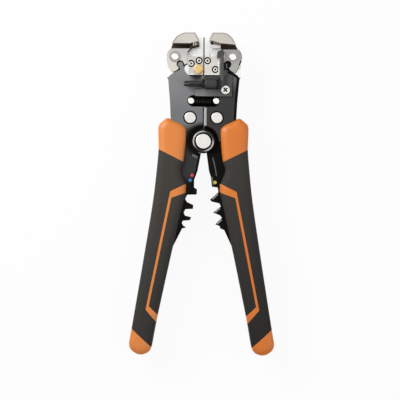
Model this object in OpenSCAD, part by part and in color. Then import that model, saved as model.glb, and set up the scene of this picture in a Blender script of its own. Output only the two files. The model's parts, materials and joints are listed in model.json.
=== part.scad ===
// Automatic wire stripper, lying on the flat rear faces of its grips, jaws towards +Y, front towards +Z.
// Two levers and two head frames turn on one main pivot. Squeezing first shuts both upper jaws on the wire,
// then spreads the two frames, so that the blades draw the insulation off.

/* [Head] */
// Width of the head across the two jaw cheeks
head_w = 47.6; // [45:0.2:50]
// Height of the wire channel over the main pivot, which the head's outlines follow
wire_y = 57.2; // [54:0.2:60]
// Gap between the left and the right half at the seam
seam_gap = 0.8; // [0.6:0.1:1.2]
// Thickness of the core between the frames
core_t = 6; // [5.6:0.1:6.6]
// Thickness of each frame plate
frame_t = 1.6; // [1.4:0.1:2]
// Thickness of each lever plate
lever_t = 2.4; // [2.2:0.1:2.8]
// Gap between layers that slide past each other
layer_gap = 0.2; // [0.15:0.01:0.25]

/* [Jaws] */
// Height of the upper jaw caps over the front of the jaw cheeks
cap_rise = 2.1; // [1.5:0.1:2.4]
// Radius of the jaw pins' shanks
jaw_pin_r = 1.6; // [1.4:0.05:1.8]
// Radius of the jaw pins' heads
jaw_pin_head_r = 2.2; // [2:0.05:2.5]
// Radius of the round knob that swings each upper jaw
knob_r = 1.7; // [1.5:0.05:1.8]
// Play of the knob in its socket, which lets it slide as the jaw turns
knob_play = 0.65; // [0.55:0.05:0.8]
// Pitch of the gripping teeth
tooth_pitch = 1.15; // [1:0.05:1.3]
// Depth of the gripping teeth
tooth_depth = 0.4; // [0.3:0.05:0.5]
// Thickness of the wire blades
blade_t = 1; // [0.8:0.1:1.2]
// Radius of the clamp screws' heads
clamp_screw_head_r = 1.45; // [1.3:0.05:1.6]
// Radius of the recess round each clamp screw
clamp_recess_r = 2.2; // [2.1:0.05:2.3]
// Radius of the brass stud on the left clamp plate
stud_r = 3.1; // [2.9:0.1:3.2]

/* [Pivot and rivets] */
// Radius of the main pivot pin
pivot_r = 3; // [2.8:0.1:3.2]
// Radius of the main pivot's heads
pivot_head_r = 4.85; // [4.6:0.05:5]
// Radius of the washers under the main pivot's heads
washer_r = 6.8; // [6.4:0.1:7]
// Radius of the eyes round the main pivot
eye_r = 7.2; // [7:0.1:7.4]
// Radius of the round clearing in the head plates round the main pivot
clearing_r = 9.1; // [9:0.1:9.5]
// Radius of the lever rivets' heads
rivet_head_r = 3.65; // [3.4:0.05:3.8]
// Radius of the lever rivets' ends in the plates
rivet_r = 2.2; // [2:0.05:2.4]
// Running clearance between a pin and the piece that turns on it
run_gap = 0.05; // [0.03:0.01:0.08]

/* [Springs] */
// Wire thickness of the spring between the frames
spring_wire_d = 0.7; // [0.6:0.05:0.75]
// Outer diameter of the spring between the frames
spring_d = 6.5; // [6:0.1:6.7]
// Number of curls in the spring between the frames
spring_curls = 9; // [7:1:10]
// Radius of the spring posts' stems
post_r = 1.3; // [1.2:0.05:1.4]
// Radius of the spring posts' heads
post_head_r = 2; // [1.9:0.05:2.2]
// Wire thickness of the return spring round the main pivot
return_wire_d = 0.85; // [0.75:0.05:0.85]

/* [Length stop] */
// Diameter of the stop's adjusting knob
knob_d = 5.6; // [5:0.1:5.8]
// Outer diameter of the stop's threaded rod
rod_d = 4.1; // [3.8:0.1:4.2]
// Thread pitch of the rod
rod_pitch = 0.7; // [0.6:0.05:0.8]
// Thickness of the bracket's sheet
bracket_t = 1.2; // [1:0.1:1.4]
// Radius of the bracket screw's head
bracket_screw_head_r = 2.85; // [2.6:0.05:3]
// Width of the stop arm
stop_arm_w = 2.2; // [2:0.1:2.4]

/* [Handles] */
// Thickness of the grips, front to rear
grip_t = 20; // [19:0.5:21]
// Distance of each grip's end cap from the centre line, which the handles' outlines follow
grip_end_x = 38.1; // [36:0.1:40]
// Distance of each grip's end cap below the main pivot, which the handles' outlines follow
grip_end_y = 127; // [122:0.5:132]
// Rounding of the grips' long edges
grip_round = 4; // [3:0.5:4.5]
// Thickness of the black skin on the grips
skin_t = 1.8; // [1.5:0.1:2]
// Radius of the coloured crimp size marks
mark_r = 1.05; // [0.9:0.05:1.1]

/* [Hidden] */

$fn = 64;
// Overrun of cuts past the faces they open
cut = 0.5;
// Clearance between pieces that are fixed together
seat_gap = 0.02;
// Play between pieces of two bodies that pass each other in one layer
side_play = 0.5;

// Layers, as heights over the middle plane of the tool
core_z = core_t / 2;
frame_z0 = core_z + layer_gap;
frame_z1 = frame_z0 + frame_t;
lever_z0 = frame_z1 + layer_gap;
lever_z1 = lever_z0 + lever_t;
// Thickness of the left lever round the main pivot and down its tang
eye_t_share = 0.55;
eye_t = lever_t * eye_t_share;
eye_z1 = lever_z0 + eye_t;
cap_z1 = lever_z1 + cap_rise;

// Top of the caps and lower end of the grips, as shares of the two driving heights
cap_top_share = 1.202;
grip_tip_share = 1.07;
// The origin is the middle of the tool's plan, on the surface that the grips lie on
pivot_y = (grip_tip_share * grip_end_y - cap_top_share * wire_y) / 2;
mid_z = grip_t / 2;

// Places on the head, as shares of its width and of the wire channel's height
jaw_pin_share = [0.384, 0.936];
knob_share = [0.312, 0.851];
lever_rivet_share = [0.179, 0.262];
spring_post_share = [0.168, 0.448];
relief_share = [0.141, 0.823];
mark_shares = [[-0.18, -0.17], [-0.213, -0.195], [0.203, -0.205]];
// Radius of the round relief beside the knob, as a share of the head's width
relief_r_share = 0.125;
// Half length and half height of the window over the spring, as shares of the head's size
window_shares = [0.214, 0.064];

// Right half outlines of the head, as shares of its width and of the wire channel's height
head_plate_shares = [[0.318, 0.79], [0.377, 0.769], [0.42, 0.748], [0.453, 0.729], [0.477, 0.7],
    [0.461, 0.567], [0.448, 0.422], [0.439, 0.259], [0.435, 0.08], [0.4, 0]];
head_plate_top_share = 0.726;
frame_edge_shares = [[0.496, 0.722], [0.467, 0.678], [0.44, 0.5], [0.41, 0.3], [0.2, 0.13], [0.1, 0],
    [0, 0]];
frame_top_shares = [[0, 0.93], [0.2, 0.93], [0.25, 0.86], [0.33, 0.845], [0.496, 0.8]];
fin_shares = [[0, 1.175], [0.225, 1.175], [0.28, 1.13], [0.297, 1.03], [0.43, 1.01], [0.47, 0.98],
    [0.488, 0.94], [0.496, 0.86]];
clamp_left_shares = [[0, 0.937], [-0.193, 0.937], [-0.204, 0.925], [-0.204, 0.745], [-0.193, 0.735],
    [0, 0.735]];
clamp_right_shares = [[0, 0.937], [0.205, 0.937], [0.213, 0.925], [0.213, 0.745], [0.205, 0.735],
    [0, 0.735]];
lower_jaw_shares = [[0, 0.976], [-0.147, 0.976], [-0.206, 0.93], [-0.206, 0.72], [0, 0.72]];
left_screw_shares = [[-0.17, 0.862], [-0.065, 0.894]];
right_screw_shares = [[0.047, 0.894], [0.152, 0.797]];
stud_share = [-0.068, 0.798];

// Upper jaws, drawn closed side to the middle, as the same shares
left_cap_shares = [[-0.129, 1.202], [-0.27, 1.2], [-0.325, 1.18], [-0.367, 1.158], [-0.398, 1.126],
    [-0.417, 1.1], [-0.425, 1.083], [-0.19, 1.083], [-0.085, 1.106], [-0.061, 1.1], [-0.066, 1.122],
    [-0.104, 1.185]];
left_cheek_shares = [[-0.448, 1.027], [-0.481, 0.993], [-0.497, 0.96], [-0.5, 0.92], [-0.494, 0.876],
    [-0.474, 0.83], [-0.448, 0.787], [-0.428, 0.768], [-0.4, 0.77], [-0.352, 0.792], [-0.3, 0.852],
    [-0.272, 0.844], [-0.222, 0.867], [-0.222, 0.99], [-0.181, 1.037], [-0.2, 1.027]];
left_web_shares = [[-0.447, 1.03], [-0.427, 1.09], [-0.19, 1.09], [-0.19, 1.035], [-0.222, 1],
    [-0.45, 1]];
left_groove_shares = [[-0.447, 1.027], [-0.425, 1.083], [-0.19, 1.083], [-0.187, 1.038], [-0.2, 1.027]];
left_pad_shares = [[-0.19, 1.083], [-0.185, 1.038], [-0.062, 1.063], [-0.061, 1.1], [-0.085, 1.106]];
right_cap_shares = [[0.115, 1.202], [0.26, 1.202], [0.32, 1.187], [0.372, 1.148], [0.413, 1.09],
    [0.422, 1.071], [0.22, 1.086], [0.092, 1.118], [0.07, 1.13], [0.09, 1.168]];
right_cheek_shares = [[0.468, 1.018], [0.494, 0.987], [0.506, 0.957], [0.508, 0.915], [0.5, 0.88],
    [0.474, 0.835], [0.442, 0.78], [0.42, 0.76], [0.396, 0.766], [0.352, 0.79], [0.3, 0.852],
    [0.276, 0.88], [0.281, 0.96], [0.281, 0.987], [0.246, 1.018]];
right_web_shares = [[0.468, 1.01], [0.43, 1.08], [0.22, 1.095], [0.22, 1.055], [0.24, 1]];
right_groove_shares = [[0.468, 1.018], [0.422, 1.071], [0.223, 1.085], [0.223, 1.055], [0.246, 1.018]];
right_pad_shares = [[0.22, 1.1], [0.22, 1.052], [0.112, 1.075], [0.094, 1.13]];
// Where the left jaw's gripping line ends, the first at the seam side
left_teeth_shares = [[-0.066, 1.062], [-0.178, 1.039]];
// Ridges that show on that line, their width and place as a share of the pitch, and their lap on the cap
ridge_count = 4;
ridge_share = 0.5;
ridge_lap = 0.6;
upper_blade_shares = [[0.094, 1.118], [0.088, 1.106], [0.104, 1.07], [0.112, 1.075]];

// Right half outlines of the handles, as shares of the grip end's place
grip_shares = [[0.281, 0.04], [0.286, 0.062], [0.342, 0.08], [0.54, 0.108], [0.59, 0.116], [0.625, 0.113],
    [0.735, 0.085], [0.753, 0.068], [0.753, 0.04], [0.743, -0.04], [0.755, -0.09], [0.807, -0.25],
    [0.86, -0.365], [0.998, -0.626], [1.168, -0.9375], [1.212, -1.01], [1.205, -1.03], [1.17, -1.048],
    [1.083, -1.066], [0.992, -1.07], [0.9, -1.06], [0.85, -1.045], [0.833, -1.0295], [0.76, -0.904],
    [0.495, -0.527], [0.283, -0.257], [0.278, -0.217], [0.313, -0.195], [0.363, -0.16], [0.37, -0.135],
    [0.326, -0.101], [0.299, -0.025]];
grip_top_shares = [[0, 0.2], [1, 0.2], [1, -0.168], [0.74, -0.042], [0.326, -0.104], [0, -0.27]];
grip_stripe_shares = [[0.2, -0.2], [0.552, -0.252], [0.944, -0.842], [0.777, -0.9015], [0.6, -0.95],
    [0.6, -0.92], [0.737, -0.87], [0.893, -0.825], [0.531, -0.283], [0.283, -0.2565], [0.2, -0.245]];
grip_cap_shares = [[1.5, -0.87], [1.17, -0.9375], [0.842, -1.0285], [0.6, -1.1], [1.5, -1.2]];
tang_shares = [[0.62, -0.62], [0.85, -0.86], [1, -0.86], [0.87, -0.62], [0.69, -0.3], [0.66, -0.08],
    [0.66, 0.03], [0.45, 0.05]];
left_tang_edge_shares = [[-0.1, 0], [-0.08, -0.062], [-0.125, -0.15], [-0.19, -0.2], [-0.195, -0.255],
    [-0.265, -0.262], [-0.293, -0.288], [-0.36, -0.42], [-0.5, -0.53]];
left_die_shares = [[-0.037, -0.0575], [-0.092, -0.147], [-0.148, -0.193], [-0.147, -0.231],
    [-0.097, -0.241], [-0.103, -0.2665], [-0.26, -0.2675], [-0.297, -0.287], [-0.267, -0.304],
    [-0.158, -0.319], [-0.163, -0.3385], [-0.29, -0.3405], [-0.318, -0.358], [-0.297, -0.373],
    [-0.193, -0.3805], [-0.212, -0.3955], [-0.327, -0.398], [-0.348, -0.4095], [-0.327, -0.423],
    [-0.277, -0.4325], [-0.34, -0.4365], [-0.49, -0.5265], [-0.6, -0.53], [-0.46, -0.25], [-0.4, -0.06],
    [-0.3, -0.03]];
right_core_shares = [[0.058, -0.0585], [0.1, -0.147], [0.132, -0.1765], [0.152, -0.2265],
    [0.248, -0.23], [0.262, -0.253], [0.122, -0.2915], [0.148, -0.301], [0.282, -0.3105],
    [0.303, -0.326], [0.175, -0.3565], [0.29, -0.37], [0.323, -0.3825], [0.215, -0.4155],
    [0.292, -0.425], [0.293, -0.435], [0.363, -0.444], [0.492, -0.526]];
// Upper end of the right core, from the grip to its rivet and back to the main pivot
core_head_shares = [[0.16, -0.06], [0.2, -0.01], [0.4, 0.05], [0.33, 0.2], [0.27, 0.33], [0.17, 0.35],
    [0.09, 0.3], [0.07, 0.2], [0.06, 0]];

// Turns shares into places on the head or on the handles
function head(p) = [p[0] * head_w, p[1] * wire_y];
function heads(list) = [for (p = list) head(p)];
function tails(list) = [for (p = list) [p[0] * grip_end_x, p[1] * grip_end_y]];
jaw_pin_at = head(jaw_pin_share);
knob_at = head(knob_share);
rivet_at = head(lever_rivet_share);
post_at = head(spring_post_share);
relief_at = head(relief_share);
relief_r = relief_r_share * head_w;
half_seam = seam_gap / 2;
// Reach of the web that joins the right core to its eye
web_r = eye_r + side_play * 3;

// Heights of the low heads, and the part of that height that is rounded
head_h = 0.9;
pivot_head_h = 1.4;
dome_share = 0.45;
// Depth of the recesses that the lever rivets' heads lie in, and the rim of that recess
rivet_recess = 0.6;
rivet_rim = 0.6;
// Width of the shoulder that spaces the plates on a lever rivet, and its play in the frames
rivet_shoulder = 0.7;
rivet_play = 1;
// Floor and rim of the dished washers
washer_floor = 0.4;
washer_rim_h = 1;
washer_rim = 1.1;
// Depth of the recesses that hold the clamp screws, height of their heads and size of their sockets
clamp_recess = 1.3;
clamp_head_h = 1.1;
clamp_shank_r = 1;
socket_r = 0.62;
socket_depth = 0.7;
// Hub of the upper jaws between the frames, ear of the frame round the jaw pin and reach of the jaw's link
hub_r = 3.4;
ear_r = 3.2;
link_inner_r = 3.7;
link_outer_r = 7.6;
// Floor of the groove under each cap, and thickness of the dark insert on it
web_t = 1.6;
insert_t = 1.6;
web_z = core_z - layer_gap;
// Height of the pads under the caps over the middle plane
pad_z = lever_z0;

// Places what is drawn round the main pivot, at the middle plane, into the part's frame
module at_pivot() {
    translate([0, pivot_y, mid_z]) children();
}

// A plate of the outline below it, between two heights
module slab(z0, z1) {
    translate([0, 0, z0]) linear_extrude(z1 - z0) children();
}

// Mirrors to the left half
module flip(left) {
    mirror([left ? 1 : 0, 0, 0]) children();
}

// A straight pin, hole or spacer along Z at a place
module post(at, r, z0, z1) {
    translate([at[0], at[1], z0]) cylinder(h = z1 - z0, r = r);
}

// A low head with a rounded rim, turned, which stands on height z0
module button(at, r, z0, h) {
    rim = h * dome_share;
    translate([at[0], at[1], z0]) rotate_extrude() {
        square([r, h - rim]);
        square([r - rim, h]);
        intersection() {
            translate([r - rim, h - rim]) circle(rim);
            square([r, h]);
        }
    }
}

// Half of the plane on the right of the seam's edge
module right_side(edge) {
    reach = head_w * 3;
    translate([edge, -reach]) square([reach, reach * 2]);
}

// Plates and outlines that both halves share

module head_plate() {
    top_y = head_plate_top_share * wire_y;
    neck = [[half_seam, 0], [half_seam, top_y], [relief_at[0], top_y], [knob_at[0] - knob_r / 2, knob_at[1]],
        [knob_at[0] + knob_r / 2, knob_at[1]]];
    difference() {
        union() {
            slab(lever_z0, lever_z1) polygon(concat(neck, heads(head_plate_shares)));
            post(knob_at, knob_r, lever_z0, lever_z1);
        }
        slab(lever_z0 - cut, lever_z1 + cut) {
            translate(relief_at) circle(relief_r);
            circle(clearing_r);
            window_shape();
            translate(rivet_at) circle(rivet_r + seat_gap);
        }
    }
}

// The long window over the spring, shared by both halves
module window_shape(grow = 0) {
    half_l = window_shares[0] * head_w + grow;
    half_h = window_shares[1] * wire_y + grow;
    translate([0, post_at[1]]) {
        square([(half_l - half_h) * 2, half_h * 2], center = true);
        for (side = [-1, 1]) translate([side * (half_l - half_h), 0]) circle(half_h);
    }
}

module frame_front() {
    difference() {
        union() {
            slab(frame_z0, frame_z1) intersection() {
                polygon(heads(concat(frame_top_shares, frame_edge_shares)));
                right_side(half_seam);
            }
            post(jaw_pin_at, ear_r, frame_z0, frame_z1);
            translate([jaw_pin_at[0] - ear_r, knob_at[1] - ear_r, frame_z0])
                cube([ear_r * 2, jaw_pin_at[1] - knob_at[1] + ear_r, frame_t]);
        }
        slab(frame_z0 - cut, frame_z1 + cut) {
            window_shape(layer_gap);
            frame_holes();
        }
    }
}

module frame_rear() {
    slab(-frame_z1, -frame_z0) difference() {
        intersection() {
            polygon(heads(concat(fin_shares, frame_edge_shares)));
            right_side(half_seam);
        }
        translate(post_at) circle(post_r + seat_gap);
        frame_holes();
    }
}

module frame_holes() {
    translate(jaw_pin_at) circle(jaw_pin_r + seat_gap);
    translate(rivet_at) circle(rivet_r + rivet_shoulder + rivet_play);
}

// Where a piece of one half is kept clear of the other half's eye
module clear_of_eye() {
    circle(eye_r + side_play);
}

module left_tang_shape() {
    polygon(tails(concat(left_tang_edge_shares, [for (p = tang_shares) [-p[0], p[1]]])));
}

// Lower level of the left lever: its eye, the web into the head plate and the tang
module left_eye_shape() {
    circle(eye_r);
    intersection() {
        circle(clearing_r + side_play);
        translate([-clearing_r * 2, 0]) square([clearing_r * 2 - half_seam, clearing_r * 2]);
    }
    left_tang_shape();
}

// Main pivot

module pivot_pin() {
    color("whitesmoke") at_pivot() {
        post([0, 0], pivot_r, -eye_z1 - washer_floor, eye_z1 + washer_floor);
        button([0, 0], pivot_head_r, eye_z1 + washer_floor, pivot_head_h);
        mirror([0, 0, 1]) button([0, 0], pivot_head_r, lever_z1 + washer_floor, pivot_head_h);
        post([0, 0], pivot_r, -lever_z1 - washer_floor, -eye_z1);
    }
}

// A dished washer with a raised rim, standing on height z0
module dished_washer(z0) {
    translate([0, 0, z0]) rotate_extrude() {
        translate([pivot_r + seat_gap, 0]) square([washer_r - pivot_r - seat_gap, washer_floor]);
        translate([washer_r - washer_rim, 0]) square([washer_rim, washer_rim_h]);
    }
}

module pivot_washer_front() {
    color("gainsboro") at_pivot() dished_washer(eye_z1);
}

module pivot_washer_rear() {
    color("gainsboro") at_pivot() mirror([0, 0, 1]) dished_washer(lever_z1);
}

// Springs

function unit(v) = v / norm(v);
function tangent(points, i) =
    unit(points[min(i + 1, len(points) - 1)] - points[max(i - 1, 0)]);
// Carries a normal along the route with as little twist as can be
function carry(points, n, i = 0) = i == len(points) ? [] :
    let (t = tangent(points, i), m = unit(n - t * (n * t))) concat([m], carry(points, m, i + 1));

// One unbroken tube of six sides along the points
module wire_tube(points, d, start_normal) {
    sides = 6;
    count = len(points);
    normals = carry(points, start_normal);
    rings = [for (i = [0:count - 1], k = [0:sides - 1])
        let (t = tangent(points, i), n = normals[i], b = cross(t, n), a = k * 360 / sides)
            points[i] + (n * cos(a) + b * sin(a)) * d / 2];
    walls = [for (i = [0:count - 2], k = [0:sides - 1])
        let (a = i * sides + k, b = i * sides + (k + 1) % sides) each
            [[a, b, a + sides], [b, b + sides, a + sides]]];
    first = [for (k = [1:sides - 2]) [0, k + 1, k]];
    end = (count - 1) * sides;
    last = [for (k = [1:sides - 2]) [end, end + k, end + k + 1]];
    polyhedron(points = rings, faces = concat([for (f = walls) [f[0], f[2], f[1]]],
        [for (f = first) [f[0], f[2], f[1]]], [for (f = last) [f[0], f[2], f[1]]]));
}

curl_steps = 8;
lead_steps = 6;
hook_step = 25;
hook_end = 140;
spring_r = (spring_d - spring_wire_d) / 2;
hook_r = post_r + spring_wire_d / 2 + side_play / 5;
// The curls end a wire and a half short of the hooks
curls_half_l = post_at[0] - hook_r - spring_wire_d * 1.5;
curl_pitch = curls_half_l * 2 / spring_curls;
// Lead from the last curl inwards and down to the foot of the hook
function lead(t) = let (a = 180 * t, r = spring_r * (1 - t) + hook_r * t,
    rest = post_at[0] - curls_half_l - curl_pitch / 2)
    [curls_half_l + curl_pitch * t / 2 + rest * pow(t, 3), r * cos(a), r * sin(a) * (1 - t)];
right_end = concat([for (i = [1:lead_steps]) lead(i / lead_steps)],
    [for (a = [hook_step - 90:hook_step:hook_end]) [post_at[0] + hook_r * cos(a), hook_r * sin(a), 0]]);
left_end = [for (i = [len(right_end) - 1:-1:0]) let (p = right_end[i]) [-p[0], p[1], -p[2]]];
curls = [for (i = [0:spring_curls * curl_steps]) let (a = 360 * i / curl_steps)
    [-curls_half_l + curl_pitch * i / curl_steps, spring_r * cos(a), spring_r * sin(a)]];
spring_route = concat(left_end, curls, right_end);

return_turns = 1.5;
return_steps = 12;
return_r = 4.6;
return_z0 = return_wire_d / 2 + layer_gap;
return_pitch = (core_z - return_wire_d / 2 - return_z0) / return_turns;
return_leg = sqrt(eye_r * eye_r - return_r * return_r) - return_wire_d;
function return_at(i) = let (a = 360 * i / return_steps)
    [return_r * cos(a), return_r * sin(a), return_z0 + return_pitch * i / return_steps];
return_last = return_turns * return_steps;
return_curls = [for (i = [0:return_last]) return_at(i)];
return_route = concat([return_at(0) - return_leg * [0, 1, 0]], return_curls,
    [return_at(return_last) + return_leg * [0, -1, 0]]);

// Least gap of a wire to itself, between points that are more than half a curl apart along it
function own_gap(route, d, apart) = min([for (i = [0:len(route) - 1], j = [i + apart:len(route) - 1])
    norm(route[i] - route[j])]) - d;
echo(frame_spring_gap = own_gap(spring_route, spring_wire_d, curl_steps / 2));
echo(return_spring_gap = own_gap(return_route, return_wire_d, return_steps / 2));

module frame_spring() {
    color("dimgray") at_pivot() translate([0, post_at[1], 0]) wire_tube(spring_route, spring_wire_d, [0, 0, 1]);
}

module return_spring() {
    color("dimgray") at_pivot() wire_tube(return_route, return_wire_d, [1, 0, 0]);
}

module spring_post(left) {
    stem_z1 = lever_z1 - head_h / 2;
    flip(left) {
        post(post_at, post_r, -frame_z1, stem_z1);
        button(post_at, post_head_r, stem_z1, head_h);
    }
}

module left_spring_post() {
    color("whitesmoke") at_pivot() spring_post(true);
}

module right_spring_post() {
    color("whitesmoke") at_pivot() spring_post(false);
}

// Head frames

module left_frame_front() {
    color("silver") at_pivot() difference() {
        union() {
            flip(true) frame_front();
            post([0, 0], eye_r - layer_gap, frame_z0, frame_z1);
        }
        post([0, 0], pivot_r + seat_gap, 0, lever_z1);
        slab(0, lever_z1) {
            clamp_shanks(left_screw_shares);
            translate(head(stud_share)) circle(stud_r / 2 + seat_gap);
        }
    }
}

module right_frame_front() {
    color("silver") at_pivot() difference() {
        frame_front();
        slab(0, lever_z1) {
            clear_of_eye();
            clamp_shanks(right_screw_shares);
        }
    }
}

module left_frame_rear() {
    color("silver") at_pivot() difference() {
        flip(true) frame_rear();
        slab(-lever_z1, 0) {
            clear_of_eye();
            clamp_shanks(left_screw_shares);
        }
    }
}

module right_frame_rear() {
    color("silver") at_pivot() difference() {
        union() {
            frame_rear();
            post([0, 0], eye_r - layer_gap, -frame_z1, -frame_z0);
        }
        post([0, 0], pivot_r + run_gap, -lever_z1, 0);
        slab(-lever_z1, 0) clamp_shanks(right_screw_shares);
    }
}

module jaw_pin(left) {
    flip(left) {
        post(jaw_pin_at, jaw_pin_r, -frame_z1, lever_z1 + layer_gap);
        button(jaw_pin_at, jaw_pin_head_r, lever_z1 + layer_gap, head_h);
        mirror([0, 0, 1]) button(jaw_pin_at, jaw_pin_head_r, frame_z1, head_h);
    }
}

module left_jaw_pin() {
    color("whitesmoke") at_pivot() jaw_pin(true);
}

module right_jaw_pin() {
    color("whitesmoke") at_pivot() jaw_pin(false);
}

// Lower jaws, clamp plates and their screws

module clamp_shanks(places) {
    for (p = places) translate(head(p)) circle(clamp_shank_r + seat_gap);
}

module lower_jaw_shape() {
    intersection() {
        polygon([for (p = heads(lower_jaw_shares)) [-p[0], p[1]]]);
        right_side(half_seam);
    }
}

// V notches of the gripping teeth, cut along a line from the first place to the second
module teeth(from, to) {
    run = norm(to - from);
    count = floor(run / tooth_pitch);
    for (i = [0:count]) translate(from + (to - from) * (i * tooth_pitch / run))
        polygon([[-tooth_depth, 0], [0, -tooth_depth], [tooth_depth, 0], [0, tooth_depth]]);
}

lower_top_y = lower_jaw_shares[0][1] * wire_y;

module left_lower_jaw() {
    stud_hole_r = stud_r / 2;
    color("gainsboro") at_pivot() slab(-frame_z0, frame_z0) difference() {
        mirror([1, 0]) lower_jaw_shape();
        teeth([-tooth_pitch, lower_top_y], [lower_jaw_shares[1][0] * head_w + tooth_pitch, lower_top_y]);
        clamp_shanks(left_screw_shares);
        translate(head(stud_share)) circle(stud_hole_r + seat_gap);
    }
}

lower_blade_share = [0.084, 0.94];
lower_blade_rise_share = 0.986;

module lower_blade_shape(gap) {
    at = head(lower_blade_share);
    translate([at[0] - blade_t / 2 - gap, at[1] - gap])
        square([blade_t + gap * 2, lower_blade_rise_share * wire_y - at[1] + gap]);
}

module right_lower_jaw() {
    color("gainsboro") at_pivot() slab(-frame_z0, frame_z0) difference() {
        lower_jaw_shape();
        lower_blade_shape(seat_gap);
        clamp_shanks(right_screw_shares);
    }
}

module lower_blade() {
    color("slategray") at_pivot() slab(-web_z, web_z) lower_blade_shape(0);
}

module clamp_plate(shares, screws, left) {
    difference() {
        slab(frame_z1, lever_z1) difference() {
            intersection() {
                flip(left) polygon([for (p = heads(shares)) [abs(p[0]), p[1]]]);
                flip(left) right_side(half_seam);
            }
            clamp_shanks(screws);
        }
        for (p = screws) post(head(p), clamp_recess_r, lever_z1 - clamp_recess, lever_z1 + cut);
    }
}

module left_clamp_plate() {
    color("gainsboro") at_pivot() difference() {
        clamp_plate(clamp_left_shares, left_screw_shares, true);
        post(head(stud_share), stud_r / 2 + seat_gap, 0, lever_z1 + cut);
    }
}

module right_clamp_plate() {
    color("gainsboro") at_pivot() clamp_plate(clamp_right_shares, right_screw_shares, false);
}

// Socket screws that run through the clamp plate, the front frame and the jaw into the rear frame
module clamp_screws(places) {
    z1 = lever_z1 - clamp_recess;
    for (p = places) difference() {
        union() {
            post(head(p), clamp_shank_r, -frame_z1, z1);
            post(head(p), clamp_screw_head_r, z1, z1 + clamp_head_h);
        }
        translate([head(p)[0], head(p)[1], z1 + clamp_head_h - socket_depth])
            cylinder(h = socket_depth + cut, r = socket_r, $fn = 6);
    }
}

module left_clamp_screws() {
    color("lightgray") at_pivot() clamp_screws(left_screw_shares);
}

module right_clamp_screws() {
    color("lightgray") at_pivot() clamp_screws(right_screw_shares);
}

module brass_stud() {
    color("goldenrod") at_pivot() {
        post(head(stud_share), stud_r / 2, -frame_z0, lever_z1);
        button(head(stud_share), stud_r, lever_z1, head_h);
    }
}

// Upper jaws

// Socket of the knob: a slot along the line from the jaw pin, so that the knob can slide towards the pin
module knob_socket() {
    along = jaw_pin_at - knob_at;
    r = knob_r + knob_play;
    translate(knob_at) circle(r);
    translate(knob_at + unit(along) * knob_play / 2) circle(r);
}

// The part of a cheek near the jaw pin, between two radii from the pin
module link_shape(r0, r1) {
    difference() {
        translate(jaw_pin_at) circle(r1);
        if (r0 > 0) translate(jaw_pin_at) circle(r0);
        translate([jaw_pin_at[0] - head_w, jaw_pin_at[1] - side_play - wire_y]) square([head_w * 2, wire_y]);
        translate([jaw_pin_at[0] + r0 - link_inner_r + side_play, 0]) square([head_w, wire_y * 2]);
    }
}

// One upper jaw: cap, cheek, floor of the groove and the link between the frames, with the bore for its pin
module upper_jaw(cap, cheek, web, left) {
    difference() {
        union() {
            slab(-web_z, cap_z1) polygon(heads(cap));
            slab(-web_z, web_t - web_z) polygon(heads(web));
            slab(lever_z0, lever_z1) difference() {
                polygon(heads(cheek));
                flip(left) knob_socket();
            }
            slab(-web_z, lever_z0) intersection() {
                polygon(heads(cheek));
                flip(left) link_shape(link_inner_r, link_outer_r);
            }
            slab(-web_z, web_z) intersection() {
                polygon(heads(cheek));
                flip(left) union() {
                    link_shape(0, link_outer_r);
                    translate(jaw_pin_at) circle(hub_r);
                }
            }
        }
        flip(left) post(jaw_pin_at, jaw_pin_r + run_gap, -lever_z1, cap_z1);
    }
}

// Bright ridges of the gripping teeth, which reach from the cap down over the dark pad
module tooth_ridges() {
    from = head(left_teeth_shares[0]);
    to = head(left_teeth_shares[1]);
    step = (to - from) * (tooth_pitch / norm(to - from));
    intersection() {
        translate([0, ridge_lap]) polygon(heads(left_pad_shares));
        for (i = [0:ridge_count - 1]) translate(from + step * (i + ridge_share))
            square([tooth_pitch * ridge_share, wire_y]);
    }
}

module left_upper_jaw() {
    color("tan") at_pivot() {
        upper_jaw(left_cap_shares, left_cheek_shares, left_web_shares, true);
        slab(pad_z, cap_z1 - ridge_lap) tooth_ridges();
    }
}

module right_upper_jaw() {
    color("tan") at_pivot() {
        upper_jaw(right_cap_shares, right_cheek_shares, right_web_shares, false);
        slab(-web_z, pad_z) difference() {
            polygon(heads(right_pad_shares));
            polygon(heads(upper_blade_shares));
        }
    }
}

// Dark inserts that line the grooves under the caps
module left_grip_insert() {
    from = head(left_teeth_shares[0]);
    to = head(left_teeth_shares[1]);
    color("dimgray") at_pivot() {
        slab(web_t - web_z, web_t - web_z + insert_t) polygon(heads(left_groove_shares));
        slab(-web_z, pad_z) difference() {
            polygon(heads(left_pad_shares));
            teeth(from, to);
        }
    }
}

module right_guide_insert() {
    color("dimgray") at_pivot() slab(web_t - web_z, web_t - web_z + insert_t)
        polygon(heads(right_groove_shares));
}

module upper_blade() {
    color("slategray") at_pivot() slab(-web_z, pad_z) polygon(heads(upper_blade_shares));
}

// Levers

module left_lever_front() {
    color("gray") at_pivot() difference() {
        union() {
            flip(true) head_plate();
            slab(lever_z0, eye_z1) difference() {
                left_eye_shape();
                mirror([1, 0]) translate(rivet_at) circle(rivet_r + seat_gap);
            }
        }
        post([0, 0], pivot_r + run_gap, 0, lever_z1);
        flip(true) post(rivet_at, rivet_head_r + rivet_rim, lever_z1 - rivet_recess, lever_z1 + cut);
    }
}

module left_lever_rear() {
    color("gray") at_pivot() difference() {
        union() {
            slab(-lever_z1, -lever_z0) mirror([1, 0]) rear_plate_shape();
            slab(-lever_z1, -lever_z0) left_eye_shape();
        }
        post([0, 0], pivot_r + run_gap, -lever_z1 - cut, 0);
        flip(true) post(rivet_at, rivet_r + seat_gap, -lever_z1 - cut, 0);
    }
}

// Head plate at the rear, without the knob and the window
module rear_plate_shape() {
    difference() {
        polygon(concat([[half_seam, 0], [half_seam, head_plate_top_share * wire_y]],
            heads([for (i = [2:len(head_plate_shares) - 1]) head_plate_shares[i]])));
        circle(clearing_r);
        translate(rivet_at) circle(rivet_r + seat_gap);
    }
}

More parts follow.
